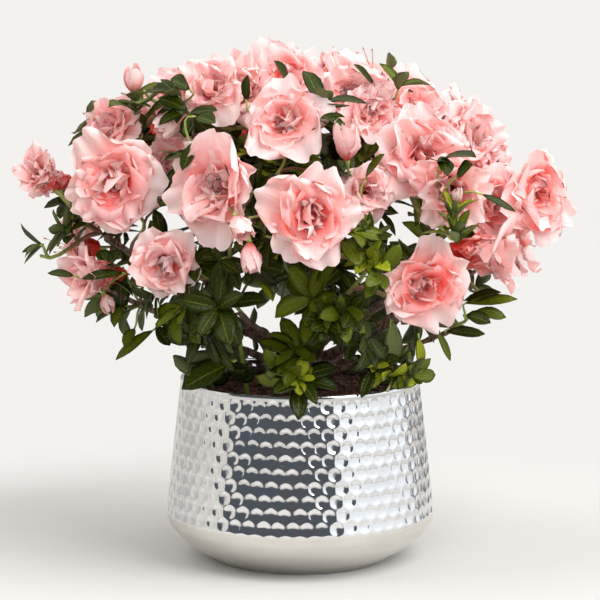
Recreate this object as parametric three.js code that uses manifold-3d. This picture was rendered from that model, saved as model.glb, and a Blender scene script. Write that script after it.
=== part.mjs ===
// A double-flowered pot azalea in a round metal planter, standing on the planter's flat underside.
// Millimetres, +Z up, front towards -Y. The origin is the centre of the flat underside.
// Bearings are in degrees round the plant: 0 is the front, 90 the right, 180 the back, -90 the left.

import * as THREE from 'three';
import { mergeVertices } from 'three/addons/utils/BufferGeometryUtils.js';
import Module from 'manifold-3d';

const wasm = await Module();
wasm.setup();

const GAP = 0.3; // clearance kept between neighbouring solids
const ROUND = 36; // segments round the planter

const PLANTER = {
  height: 130,
  rimRadius: 84,
  widestRadius: 95,
  widestHeight: 36,
  shoulderRadius: 93.5, // where the wall turns under into the base
  shoulderHeight: 27,
  footRadius: 61,
  footRise: 3.5, // small rounding at the edge of the flat underside
  footFlare: 4, // how far that rounding goes outwards
  bellyReach: 22, // the bowl's curve aims at this far outside the foot,
  bellyRise: 8, // and this far above the rounding
  wall: 2,
  floor: 5,
};

const MIX = {
  top: 118,
  crownRise: 2, // the surface is a little higher round the stem
  flatRadius: 24, // level area that the stems stand on
};

const STEM = {
  foot: [12, 4],
  lean: [-4, 2], // how far the top stands from over the foot
  height: 40,
  footRadius: 12,
  waistRadius: 8,
  topRadius: 6.5,
  sides: 10,
  rings: 6,
};

const LIMB = {
  sides: 6,
  steps: 6,
  enters: 10, // depth of a limb's end inside the mass that carries on from it
  rise: 0.42, // share of a limb's height gained before it turns outwards
};

const CROWN = {
  lowest: PLANTER.height + 1, // no mass hangs lower than the rim
  depth: 0.96, // a mass's size front to back, as a share of its half-width
  lift: 0.12, // every other mass of a ring stands this share of its half-height higher
  uneven: 0.17, // how far a mass departs from an egg shape
  fineOver: 33, // masses wider than this each way from their centre get smaller facets
  nearby: 1.35, // masses closer than this times their sizes get a dividing plane
};

// Flowering masses that face the front: name, bearing, reach, height, half-width, half-height.
const FRONT_BLOOMS = [
  ['blooms_far_left', -93, 183, 272, 20, 23],
  ['blooms_left_front', -64, 138, 266, 38, 34],
  ['blooms_left_upper', -86, 122, 305, 34, 27],
  ['bud_shoot_left', -74, 116, 342, 15, 18],
  ['blooms_top_left', -72, 74, 334, 35, 30],
  ['blooms_front_left', -29, 120, 270, 38, 46],
  ['blooms_low_left', -44, 133, 222, 26, 27],
  ['blooms_low_far_left', -69, 155, 206, 25, 27],
  ['blooms_crown_top', -40, 14, 344, 36, 24],
  ['blooms_front_upper', -6, 92, 316, 36, 34],
  ['blooms_top_right', 62, 46, 335, 32, 28],
  ['blooms_right_upper', 55, 100, 304, 36, 38],
  ['blooms_right_top', 94, 116, 300, 32, 34],
  ['blooms_right_front', 44, 140, 270, 30, 30],
  ['blooms_far_right', 81, 163, 262, 30, 38],
  ['blooms_low_right_outer', 67, 146, 222, 28, 27],
  ['blooms_low_right', 40, 128, 206, 34, 32],
  ['blooms_centre_front', 2, 136, 256, 34, 38],
];

// Leafy masses that face the front, with the same sizes in the same order.
const FRONT_LEAVES = [
  ['leaves_heart', 0, 8, 248, 84, 60],
  ['leaves_centre_right', 24, 122, 228, 24, 26],
  ['leaves_front_left', -30, 104, 198, 36, 28],
  ['leaves_front_right', 16, 92, 188, 36, 27],
  ['leaves_left', -82, 148, 240, 20, 18],
  ['leaves_left_low', -76, 113, 174, 30, 22],
  ['leaf_tip_left', -83, 187, 222, 11, 13],
  ['leaves_rim_left', -48, 84, 147, 22, 15],
  ['leaves_rim_front', 0, 82, 148, 27, 17],
  ['leaves_rim_right', 46, 84, 147, 27, 15],
  ['leaves_right_tip', 68, 134, 178, 25, 17],
];

// Rings of masses that fill the back and the sides: kind, count, first and last bearing,
// reach, height, half-width, half-height. Masses in a ring are numbered from its first bearing.
const BACK_RINGS = [
  ['blooms_back_top', 2, 150, 212, 78, 324, 35, 30],
  ['blooms_back_high', 4, 118, 246, 130, 284, 35, 34],
  ['blooms_back_low', 3, 112, 256, 150, 226, 29, 29],
  ['leaves_back', 3, 130, 230, 92, 188, 33, 27],
  ['leaves_back_rim', 2, 140, 220, 80, 148, 25, 15],
  ['leaves_side_tip', 2, 104, 258, 152, 184, 22, 19],
];

// Limbs: name, height on the stem where it leaves, thickness at the start and at the end,
// and the mass that carries on from it.
const BOUGHS = [
  ['bough_left_low', 128, 3.4, 1.6, 'blooms_low_far_left'],
  ['bough_left', 138, 3.8, 1.9, 'leaves_left'],
  ['bough_front_left', 134, 3.8, 1.9, 'leaves_front_left'],
  ['bough_front_right', 142, 3.6, 1.9, 'leaves_front_right'],
  ['bough_right_low', 128, 3.4, 1.6, 'leaves_right_tip'],
  ['bough_right', 139, 4.0, 1.9, 'blooms_low_right_outer'],
  ['bough_right_upper', 150, 3.8, 2.0, 'blooms_far_right'],
  ['bough_back_right', 132, 3.6, 1.8, 'blooms_back_low_1'],
  ['bough_back', 144, 3.8, 1.9, 'leaves_back_2'],
  ['bough_back_left', 133, 3.6, 1.8, 'blooms_back_low_3'],
];

const LEADER = { name: 'bough_leader', startRadius: 5.2, endRadius: 2.6, mass: 'leaves_heart' };

const SHOOT = {
  foot: [-36, -34],
  top: [-42, -62, 178],
  footRadius: 2.2,
  topRadius: 1.6,
  bow: 2,
};

const FINISH = {
  planter: { color: 0xc9c7c2, roughness: 0.25, metalness: 1 },
  mix: { color: 0x3d2418, roughness: 0.95, metalness: 0 },
  bark: { color: 0x6b4226, roughness: 0.8, metalness: 0 },
  shoot: { color: 0x8fa832, roughness: 0.5, metalness: 0 },
  blooms: { color: 0xee9a98, roughness: 0.6, metalness: 0 },
  leaves: { color: 0x2f4a22, roughness: 0.45, metalness: 0 },
};

const plant = new THREE.Group();

function addPart(name, geometry, finish) {
  const part = new THREE.Mesh(geometry, new THREE.MeshStandardMaterial(finish));
  part.name = name;
  plant.add(part);
}

function asSolid(geometry) {
  const bare = geometry.clone();
  bare.deleteAttribute('normal');
  bare.deleteAttribute('uv');
  const merged = mergeVertices(bare, 1e-3);
  return new wasm.Manifold(new wasm.Mesh({
    numProp: 3,
    vertProperties: new Float32Array(merged.attributes.position.array),
    triVerts: new Uint32Array(merged.index.array),
  }));
}

function asGeometry(solid) {
  const mesh = solid.getMesh();
  const geometry = new THREE.BufferGeometry();
  geometry.setAttribute('position', new THREE.BufferAttribute(mesh.vertProperties, 3));
  geometry.setIndex(new THREE.BufferAttribute(mesh.triVerts, 1));
  geometry.computeVertexNormals();
  return geometry;
}

function place(bearing, reach, height) {
  const turn = THREE.MathUtils.degToRad(bearing);
  return new THREE.Vector3(reach * Math.sin(turn), -reach * Math.cos(turn), height);
}

// A round solid about Z from its profile of [radius, height] points, which begins and ends on Z.
function turned(points) {
  const profile = points.map(([radius, height]) => new THREE.Vector2(radius, height));
  const geometry = new THREE.LatheGeometry(profile, ROUND);
  geometry.rotateX(Math.PI / 2);
  return geometry;
}

// The planter's outline from the edge of the foot up to the rim, moved inwards by an inset.
function wallLine(inset) {
  const { height, rimRadius, widestRadius, widestHeight, shoulderRadius, shoulderHeight } = PLANTER;
  const { footRadius, footRise, footFlare, bellyReach, bellyRise } = PLANTER;
  const bowl = new THREE.QuadraticBezierCurve(
    new THREE.Vector2(footRadius + footFlare, footRise),
    new THREE.Vector2(footRadius + bellyReach, footRise + bellyRise),
    new THREE.Vector2(shoulderRadius, shoulderHeight),
  );
  const under = bowl.getPoints(3).map((point) => [point.x - inset, point.y + inset]);
  return [...under, [widestRadius - inset, widestHeight], [rimRadius - inset, height]];
}

function planterGeometry() {
  const { footRadius, wall, floor } = PLANTER;
  const outside = [[0, 0], [footRadius, 0], ...wallLine(0)];
  const inside = [...wallLine(wall).reverse(), [footRadius - wall, floor], [0, floor]];
  return turned([...outside, ...inside]);
}

// Potting mix fills the planter from its floor to a little below the rim.
function mixGeometry() {
  const { height, rimRadius, widestRadius, widestHeight, footRadius, wall, floor } = PLANTER;
  const inset = wall + GAP;
  const below = wallLine(inset).filter((point) => point[1] < MIX.top);
  const upTheWall = (MIX.top - widestHeight) / (height - widestHeight);
  const edge = THREE.MathUtils.lerp(widestRadius, rimRadius, upTheWall) - inset;
  return turned([
    [0, floor + GAP],
    [footRadius - inset, floor + GAP],
    ...below,
    [edge, MIX.top],
    [MIX.flatRadius, MIX.top + MIX.crownRise],
    [0, MIX.top + MIX.crownRise],
  ]);
}

// Bends an upright round bar onto a curve, with its radius read from a function of the way along.
function limbGeometry(curve, radiusAt, sides, steps) {
  const bar = new THREE.CylinderGeometry(1, 1, 1, sides, steps);
  const frames = curve.computeFrenetFrames(steps);
  const position = bar.attributes.position;
  const point = new THREE.Vector3();
  for (let i = 0; i < position.count; i += 1) {
    const step = Math.round((position.getY(i) + 0.5) * steps);
    const along = step / steps;
    const radius = radiusAt(along);
    curve.getPointAt(along, point);
    point.addScaledVector(frames.normals[step], position.getX(i) * radius);
    point.addScaledVector(frames.binormals[step], -position.getZ(i) * radius);
    position.setXYZ(i, point.x, point.y, point.z);
  }
  return bar;
}

const standing = MIX.top + MIX.crownRise + GAP;
const stemFoot = new THREE.Vector3(...STEM.foot, standing);
const stemTop = new THREE.Vector3(
  STEM.foot[0] + STEM.lean[0],
  STEM.foot[1] + STEM.lean[1],
  standing + STEM.height,
);

// The stem is an upright bar with a flared foot, sheared so that it leans but both ends stay level.
function stemGeometry(extra) {
  const bar = new THREE.CylinderGeometry(1, 1, 1, STEM.sides, STEM.rings);
  const position = bar.attributes.position;
  for (let i = 0; i < position.count; i += 1) {
    const along = position.getY(i) + 0.5;
    const flare = (STEM.footRadius - STEM.waistRadius) * (1 - along) ** 5;
    const radius = THREE.MathUtils.lerp(STEM.waistRadius, STEM.topRadius, along) + flare + extra;
    const centre = stemFoot.clone().lerp(stemTop, along);
    const x = centre.x + position.getX(i) * radius;
    const y = centre.y - position.getZ(i) * radius;
    position.setXYZ(i, x, y, centre.z);
  }
  return bar;
}

function listMasses() {
  const rows = [...FRONT_BLOOMS, ...FRONT_LEAVES];
  for (const [kind, count, first, last, reach, height, halfWidth, halfHeight] of BACK_RINGS) {
    for (let k = 0; k < count; k += 1) {
      const bearing = THREE.MathUtils.lerp(first, last, k / (count - 1));
      const lift = (k % 2) * CROWN.lift * halfHeight;
      rows.push([`${kind}_${k + 1}`, bearing, reach, height + lift, halfWidth, halfHeight]);
    }
  }
  return rows.map(([name, bearing, reach, height, halfWidth, halfHeight], index) => ({
    name,
    seed: index + 1,
    centre: place(bearing, reach, height),
    half: new THREE.Vector3(halfWidth, halfWidth * CROWN.depth, halfHeight),
    finish: name.startsWith('lea') ? FINISH.leaves : FINISH.blooms,
  }));
}

// Radius of a mass's egg shape in a direction from its centre.
function eggRadius(mass, direction) {
  return 1 / direction.clone().divide(mass.half).length();
}

// A slow wave over the directions that gives each mass its own uneven shape.
function unevenness(mass, direction) {
  const { seed } = mass;
  const a = Math.sin(3.1 * direction.x + 1.7 * seed + 2.3 * direction.z);
  const b = Math.sin(4.3 * direction.y - 2.9 * seed + 1.9 * direction.x);
  const c = Math.sin(5.7 * direction.z + 0.8 * seed - 3.7 * direction.y);
  return 1 + CROWN.uneven * (0.5 * a + 0.3 * b + 0.2 * c);
}

// Planes between a mass and its neighbours: [direction to the neighbour, distance to the plane].
function dividingPlanes(mass, masses) {
  const planes = [];
  for (const other of masses) {
    const across = other.centre.clone().sub(mass.centre);
    const apart = across.length();
    const near = CROWN.nearby * (mass.half.length() + other.half.length()) / Math.sqrt(3);
    if (other !== mass && apart < near) {
      across.normalize();
      const own = eggRadius(mass, across);
      const theirs = eggRadius(other, across);
      const distance = (apart * own) / (own + theirs) - GAP / 2;
      planes.push([across, distance]);
    }
  }
  planes.push([new THREE.Vector3(0, 0, -1), mass.centre.z - CROWN.lowest]);
  return planes;
}

function massGeometry(mass, masses) {
  const detail = mass.half.x > CROWN.fineOver ? 2 : 1;
  const ball = new THREE.IcosahedronGeometry(1, detail);
  const planes = dividingPlanes(mass, masses);
  const position = ball.attributes.position;
  const direction = new THREE.Vector3();
  for (let i = 0; i < position.count; i += 1) {
    direction.fromBufferAttribute(position, i).normalize();
    let radius = eggRadius(mass, direction) * unevenness(mass, direction);
    for (const [across, distance] of planes) {
      const facing = direction.dot(across);
      if (facing * radius > distance) {
        radius = distance / facing;
      }
    }
    position.setXYZ(
      i,
      mass.centre.x + direction.x * radius,
      mass.centre.y + direction.y * radius,
      mass.centre.z + direction.z * radius,
    );
  }
  return ball;
}

// A limb leaves the stem, climbs, and turns outwards to the mass it carries.
function limbCurve(start, mass) {
  const towards = mass.centre.clone().sub(start);
  const bend = start.clone();
  bend.x += towards.x * 0.5;
  bend.y += towards.y * 0.5;
  bend.z += towards.z * LIMB.rise;
  const whole = new THREE.QuadraticBezierCurve3(start, bend, mass.centre);
  const length = whole.getLength();
  const inside = eggRadius(mass, towards.clone().normalize().negate());
  const share = 1 - (inside - LIMB.enters) / length;
  const end = whole.getPointAt(share);
  const control = whole.getPointAt(share / 2).multiplyScalar(2);
  control.addScaledVector(start, -0.5).addScaledVector(end, -0.5);
  return new THREE.QuadraticBezierCurve3(start, control, end);
}

function stemPoint(height) {
  return stemFoot.clone().lerp(stemTop, (height - standing) / STEM.height);
}

function listLimbs(masses) {
  const limbs = BOUGHS.map(([name, height, startRadius, endRadius, massName]) => {
    const mass = masses.find((each) => each.name === massName);
    return { name, startRadius, endRadius, curve: limbCurve(stemPoint(height), mass) };
  });
  const heart = masses.find((each) => each.name === LEADER.mass);
  const leaderStart = stemTop.clone();
  leaderStart.z += GAP;
  limbs.push({ ...LEADER, curve: limbCurve(leaderStart, heart) });
  return limbs;
}

function limbSolid(limb, extra) {
  const radiusAt = (along) => THREE.MathUtils.lerp(limb.startRadius, limb.endRadius, along) + extra;
  return asSolid(limbGeometry(limb.curve, radiusAt, LIMB.sides, LIMB.steps));
}

function shootLimb() {
  const foot = new THREE.Vector3(...SHOOT.foot, standing);
  const top = new THREE.Vector3(...SHOOT.top);
  const bend = foot.clone().lerp(top, 0.5);
  bend.x -= SHOOT.bow;
  return {
    name: 'green_shoot',
    startRadius: SHOOT.footRadius,
    endRadius: SHOOT.topRadius,
    curve: new THREE.QuadraticBezierCurve3(foot, bend, top),
  };
}

addPart('planter', planterGeometry(), FINISH.planter);
addPart('potting_mix', mixGeometry(), FINISH.mix);
addPart('main_stem', stemGeometry(0), FINISH.bark);

const masses = listMasses();
const limbs = listLimbs(masses);
const stemRoom = asSolid(stemGeometry(GAP));
const limbRooms = [];
for (const limb of limbs) {
  let solid = limbSolid(limb, 0).subtract(stemRoom);
  for (const room of limbRooms) {
    solid = solid.subtract(room);
  }
  addPart(limb.name, asGeometry(solid), FINISH.bark);
  limbRooms.push(limbSolid(limb, GAP));
}

const shoot = shootLimb();
addPart(shoot.name, asGeometry(limbSolid(shoot, 0)), FINISH.shoot);
limbRooms.push(limbSolid(shoot, GAP));

for (const mass of masses) {
  let solid = asSolid(massGeometry(mass, masses));
  for (const room of limbRooms) {
    solid = solid.subtract(room);
  }
  addPart(mass.name, asGeometry(solid), mass.finish);
}

export default plant;
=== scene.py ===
"""A potted azalea: the hammered planter, its mix, the limbs, the leafy shoots and the double blooms."""

import logging
import math
from dataclasses import dataclass, field
from enum import Enum
from itertools import pairwise
from typing import Any

import bpy
import numpy as np
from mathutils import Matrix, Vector, noise


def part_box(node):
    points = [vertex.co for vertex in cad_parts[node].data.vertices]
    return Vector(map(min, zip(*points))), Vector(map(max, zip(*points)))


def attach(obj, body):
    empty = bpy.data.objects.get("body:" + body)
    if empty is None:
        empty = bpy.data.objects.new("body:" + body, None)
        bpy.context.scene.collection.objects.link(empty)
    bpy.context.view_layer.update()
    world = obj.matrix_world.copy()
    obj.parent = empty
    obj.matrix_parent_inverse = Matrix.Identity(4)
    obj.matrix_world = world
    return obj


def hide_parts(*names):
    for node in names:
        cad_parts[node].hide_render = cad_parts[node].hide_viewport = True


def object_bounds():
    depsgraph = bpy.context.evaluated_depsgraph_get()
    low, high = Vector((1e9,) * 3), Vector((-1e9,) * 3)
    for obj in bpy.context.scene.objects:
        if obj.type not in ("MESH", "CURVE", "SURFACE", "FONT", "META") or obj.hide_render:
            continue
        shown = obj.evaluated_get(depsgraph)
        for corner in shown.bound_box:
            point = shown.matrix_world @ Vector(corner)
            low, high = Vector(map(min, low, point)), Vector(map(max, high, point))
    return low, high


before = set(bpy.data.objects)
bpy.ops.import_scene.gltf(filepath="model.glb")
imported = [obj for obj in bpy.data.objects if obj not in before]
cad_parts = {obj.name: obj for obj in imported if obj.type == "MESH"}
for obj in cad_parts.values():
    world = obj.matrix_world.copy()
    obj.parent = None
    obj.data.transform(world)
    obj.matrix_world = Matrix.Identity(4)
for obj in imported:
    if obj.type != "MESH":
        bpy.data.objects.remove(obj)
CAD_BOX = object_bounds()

log = logging.getLogger("azalea")

SEED = 20
GOLDEN_ANGLE = math.radians(137.5)
MAP_NAME = "OFBake"
CELLS = 4  # the colour map is this many cells wide and high
CELL_MARGIN = 0.08  # of a cell, kept clear round what is laid in it
UP = np.array([0.0, 0.0, 1.0])


# ------------ Small maths


def seeded(*key: int) -> np.random.Generator:
    """Returns the random source for one thing, so that changing another leaves it alone."""
    return np.random.default_rng([SEED, *key])


def unit(vector: np.ndarray) -> np.ndarray:
    """Returns the vectors at length one, along their last axis."""
    return vector / np.maximum(np.linalg.norm(vector, axis=-1, keepdims=True), 1e-9)


def heading(azimuth: float, elevation: float) -> np.ndarray:
    """Returns a direction.

    Args:
        azimuth: Degrees round the plant, 0 at its front and 90 at its right.
        elevation: Degrees above the horizon.

    Returns:
        A unit vector.
    """
    a, e = math.radians(azimuth), math.radians(elevation)
    return np.array([math.sin(a) * math.cos(e), -math.cos(a) * math.cos(e), math.sin(e)])


def smooth(value: np.ndarray) -> np.ndarray:
    """Returns the eased step of values between 0 and 1."""
    t = np.clip(value, 0.0, 1.0)
    return t * t * (3 - 2 * t)


def across(axis: np.ndarray, near: np.ndarray) -> np.ndarray:
    """Finds a direction square to an axis.

    Args:
        axis: The axis, a unit vector.
        near: The direction it should come nearest to.

    Returns:
        A unit vector.
    """
    side = near - axis * float(axis @ near)
    if np.linalg.norm(side) < 1e-6:
        side = np.cross(axis, [0.31, 0.77, 0.55])
    return unit(side)


def turned_to(axis: np.ndarray, spin: float) -> np.ndarray:
    """Returns the rotation that takes +Z to an axis.

    Args:
        axis: Where +Z goes, a unit vector.
        spin: Turn about the axis, in radians.

    Returns:
        A 3 by 3 matrix, for row vectors times its transpose.
    """
    side = across(axis, UP)
    other = np.cross(axis, side)
    first = side * math.cos(spin) + other * math.sin(spin)
    return np.column_stack([first, np.cross(axis, first), axis])


def arc(start: np.ndarray, middle: np.ndarray, end: np.ndarray, steps: int) -> np.ndarray:
    """Returns points along a quadratic curve that leaves start towards middle and arrives at end."""
    t = np.linspace(0, 1, steps + 1)[:, None]
    return start * (1 - t) ** 2 + middle * 2 * t * (1 - t) + end * t**2


# ------------ Shader graphs


class Wire:
    """A number on a node's socket. Arithmetic on it adds Math nodes."""

    def __init__(self, graph: "Graph", socket: Any) -> None:
        """Keeps the graph and the output socket."""
        self.graph = graph
        self.socket = socket

    def _math(self, operation: str, first: Any, second: Any) -> "Wire":
        """Adds one Math node and returns its value."""
        return self.graph.add("ShaderNodeMath", {"operation": operation}, {0: first, 1: second})

    def __add__(self, other: Any) -> "Wire":
        """Adds."""
        return self._math("ADD", self, other)

    def __radd__(self, other: Any) -> "Wire":
        """Adds, reflected."""
        return self._math("ADD", other, self)

    def __sub__(self, other: Any) -> "Wire":
        """Subtracts."""
        return self._math("SUBTRACT", self, other)

    def __rsub__(self, other: Any) -> "Wire":
        """Subtracts, reflected."""
        return self._math("SUBTRACT", other, self)

    def __mul__(self, other: Any) -> "Wire":
        """Multiplies."""
        return self._math("MULTIPLY", self, other)

    def __rmul__(self, other: Any) -> "Wire":
        """Multiplies, reflected."""
        return self._math("MULTIPLY", other, self)

    def __truediv__(self, other: Any) -> "Wire":
        """Divides."""
        return self._math("DIVIDE", self, other)


class Graph:
    """A node tree with short ways to add to it."""

    def __init__(self, tree: bpy.types.NodeTree) -> None:
        """Empties the tree."""
        self.tree = tree
        tree.nodes.clear()

    def add(self, kind: str, settings: dict, inputs: dict, output: Any = 0) -> Wire:
        """Adds a node.

        Args:
            kind: The node's type.
            settings: Its properties, and under "stops" a ramp's positions and colours.
            inputs: A value or a Wire for each input, by name or number.
            output: The output wanted, by name or number.

        Returns:
            The wanted output.
        """
        node = self.tree.nodes.new(kind)
        for name, value in settings.items():
            if name == "stops":
                self._stops(node.color_ramp, value)
            else:
                setattr(node, name, value)
        for name, value in inputs.items():
            if isinstance(value, Wire):
                self.tree.links.new(value.socket, node.inputs[name])
            else:
                node.inputs[name].default_value = value
        return Wire(self, node.outputs[output] if len(node.outputs) else None)

    @staticmethod
    def _stops(ramp: bpy.types.ColorRamp, stops: list) -> None:
        """Sets a ramp's stops.

        Args:
            ramp: The ramp.
            stops: Positions and colours, in order.
        """
        while len(ramp.elements) < len(stops):
            ramp.elements.new(1.0)
        for element, (position, colour) in zip(ramp.elements, stops):
            element.position = position
            element.color = (*colour, 1.0)

    def ease(self, value: Any, low: float, high: float) -> Wire:
        """Returns a value's smooth step from low to high, as 0 to 1."""
        settings = {"interpolation_type": "SMOOTHSTEP"}
        return self.add("ShaderNodeMapRange", settings, {"Value": value, 1: low, 2: high})

    def window(self, value: Any, rise: tuple, fall: tuple) -> Wire:
        """Returns 1 between two edges that each ease over a range, and 0 outside them."""
        return self.ease(value, *rise) * (1 - self.ease(value, *fall))

    def past(self, value: Any, step: float) -> Wire:
        """Returns 1 where a whole number is past a half step, and 0 before it."""
        return self.ease(value, step - 0.1, step + 0.1)

    def blend(self, factor: Any, first: Any, second: Any) -> Wire:
        """Returns two colours mixed by a factor.

        Args:
            factor: How much of the second colour, 0 to 1.
            first: A colour or a Wire.
            second: A colour or a Wire.

        Returns:
            The mixed colour.
        """
        colours = [c if isinstance(c, Wire) else (*c, 1.0) for c in (first, second)]
        inputs = {0: factor, 6: colours[0], 7: colours[1]}
        return self.add("ShaderNodeMix", {"data_type": "RGBA"}, inputs, 2)

    def ramp(self, value: Wire, stops: list) -> Wire:
        """Returns the colour of a ramp at a value."""
        return self.add("ShaderNodeValToRGB", {"stops": stops}, {0: value})

    def noise(self, place: Wire, scale: float, detail: float = 3.0) -> Wire:
        """Returns noise between 0 and 1 at a place."""
        inputs = {"Vector": place, "Scale": scale, "Detail": detail}
        return self.add("ShaderNodeTexNoise", {}, inputs)

    def parts(self, vector: Wire) -> tuple[Wire, Wire, Wire]:
        """Returns a vector's three numbers."""
        node = self.add("ShaderNodeSeparateXYZ", {}, {0: vector}).socket.node
        return tuple(Wire(self, socket) for socket in node.outputs)

    def joined(self, x: Any, y: Any, z: Any = 0.0) -> Wire:
        """Returns a vector made of three numbers."""
        return self.add("ShaderNodeCombineXYZ", {}, {0: x, 1: y, 2: z})

    def object_place(self) -> Wire:
        """Returns the place on the piece, in metres."""
        return self.add("ShaderNodeTexCoord", {}, {}, "Object")

    def bump(self, height: Wire, distance: float, strength: float = 1.0) -> Wire:
        """Returns the normal raised by a height between 0 and 1, of a distance in metres."""
        inputs = {"Height": height, "Distance": distance, "Strength": strength}
        return self.add("ShaderNodeBump", {}, inputs)

    def cell(self) -> tuple[Wire, Wire, Wire, Wire]:
        """Reads the piece's colour map.

        Returns:
            Across and along the petal or leaf from 0 to 1, then the cell's column and row.
        """
        place = self.add("ShaderNodeUVMap", {"uv_map": MAP_NAME}, {})
        u, v, _ = self.parts(place)
        scaled = [u * CELLS, v * CELLS]
        whole = [self.add("ShaderNodeMath", {"operation": "FLOOR"}, {0: s}) for s in scaled]
        inner = 1 - 2 * CELL_MARGIN
        within = [(s - w - CELL_MARGIN) / inner for s, w in zip(scaled, whole)]
        return (*within, *whole)


def new_finish(name: str) -> tuple[bpy.types.Material, Graph]:
    """Makes an empty node material.

    Args:
        name: The finish's name.

    Returns:
        The material and its graph.
    """
    material = bpy.data.materials.new(name)
    material.use_nodes = True
    return material, Graph(material.node_tree)


def surface(graph: Graph, inputs: dict, glow: float = 0.0, glow_colour: tuple = (1, 1, 1)) -> None:
    """Ends a material.

    Args:
        graph: The material's graph.
        inputs: The Principled shader's inputs.
        glow: How much light comes through from behind, 0 to 1.
        glow_colour: The colour of that light.
    """
    shader = graph.add("ShaderNodeBsdfPrincipled", {}, inputs)
    if glow:
        through = graph.add("ShaderNodeBsdfTranslucent", {}, {"Color": (*glow_colour, 1.0)})
        shader = graph.add("ShaderNodeMixShader", {}, {0: glow, 1: shader, 2: through})
    graph.add("ShaderNodeOutputMaterial", {}, {"Surface": shader})


# ------------ Finishes


@dataclass(frozen=True)
class HammeredMetal:
    """Bright rolled metal, with a satin band below the dimples."""

    colour: tuple = (0.80, 0.80, 0.81)
    band_colour: tuple = (0.80, 0.775, 0.72)
    dull_colour: tuple = (0.56, 0.54, 0.51)
    bright: float = 0.085
    satin: float = 0.34
    band_top: float = 0.0335
    band_edge: float = 0.0012

    def material(self) -> bpy.types.Material:
        """Makes the finish: fine scuffs, a slow unevenness and the duller band.

        Returns:
            The material.
        """
        material, graph = new_finish("hammered_metal")
        place = graph.object_place()
        height = graph.parts(place)[2]
        low, high = self.band_top - self.band_edge, self.band_top + self.band_edge
        polished = graph.ease(height, low, high)
        cloud = graph.noise(place, 38.0, 4.0)
        scuffs = graph.noise(place, 900.0, 2.0)
        clean = graph.blend(polished, self.band_colour, self.colour)
        dull = graph.blend(graph.ease(cloud, 0.35, 0.8) * 0.22, clean, self.dull_colour)
        rough = self.satin + (self.bright - self.satin) * polished + (cloud - 0.5) * 0.05
        grain = graph.bump(scuffs, 0.00002, 0.5)
        settings = {"Base Color": dull, "Metallic": 1.0, "Normal": grain}
        surface(graph, {**settings, "Roughness": rough + (scuffs - 0.5) * 0.03})
        return material


@dataclass(frozen=True)
class Crumbs:
    """Damp brown potting mix, with paler flecks of bark."""

    dark: tuple = (0.022, 0.011, 0.007)
    warm: tuple = (0.13, 0.045, 0.022)
    fleck: tuple = (0.30, 0.15, 0.075)

    def material(self) -> bpy.types.Material:
        """Makes the finish.

        Returns:
            The material.
        """
        material, graph = new_finish("potting_mix")
        place = graph.object_place()
        cells = graph.add("ShaderNodeTexVoronoi", {}, {"Vector": place, "Scale": 330.0}, "Color")
        lump = graph.parts(cells)[0]
        grain = graph.noise(place, 700.0, 4.0)
        earth = graph.blend(graph.ease(lump, 0.1, 0.95), self.dark, self.warm)
        flecked = graph.blend(graph.ease(grain, 0.62, 0.7) * 0.6, earth, self.fleck)
        normal = graph.bump(lump * 0.6 + grain * 0.7, 0.0009)
        surface(graph, {"Base Color": flecked, "Roughness": 0.82, "Normal": normal})
        return material


@dataclass(frozen=True)
class Bark:
    """Rough grey-brown bark with lengthwise cracks."""

    ridge: tuple = (0.20, 0.125, 0.085)
    crack: tuple = (0.035, 0.018, 0.012)
    lichen: tuple = (0.26, 0.22, 0.16)

    def material(self) -> bpy.types.Material:
        """Makes the finish.

        Returns:
            The material.
        """
        material, graph = new_finish("bark")
        place = graph.object_place()
        stretch = {"Vector": place, "Scale": (1.0, 1.0, 0.28)}
        long = graph.add("ShaderNodeMapping", {}, stretch)
        cracks = graph.noise(long, 620.0, 5.0)
        patches = graph.noise(place, 90.0, 3.0)
        body = graph.blend(graph.ease(cracks, 0.36, 0.62), self.crack, self.ridge)
        worn = graph.blend(graph.ease(patches, 0.56, 0.68) * 0.5, body, self.lichen)
        normal = graph.bump(cracks, 0.0006)
        surface(graph, {"Base Color": worn, "Roughness": 0.78, "Normal": normal})
        return material


@dataclass(frozen=True)
class Twig:
    """Young wood: red-brown at the foot of a twig and green at its tip."""

    name: str
    foot: tuple
    tip: tuple
    roughness: float = 0.55

    def material(self) -> bpy.types.Material:
        """Makes the finish.

        Returns:
            The material.
        """
        material, graph = new_finish(self.name)
        _, along, _, _ = graph.cell()
        place = graph.object_place()
        mottle = graph.noise(place, 420.0, 3.0)
        body = graph.blend(graph.ease(along, 0.15, 0.75), self.foot, self.tip)
        darker = graph.blend(graph.ease(mottle, 0.45, 0.75) * 0.4, body, (0.03, 0.02, 0.01))
        normal = graph.bump(mottle, 0.0003)
        surface(graph, {"Base Color": darker, "Roughness": self.roughness, "Normal": normal})
        return material


class LeafTint(Enum):
    """The leaf colours, by their column in the colour map."""

    MATURE = 0
    MIDDLE = 1
    YOUNG = 2
    UNDER = 3


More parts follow.
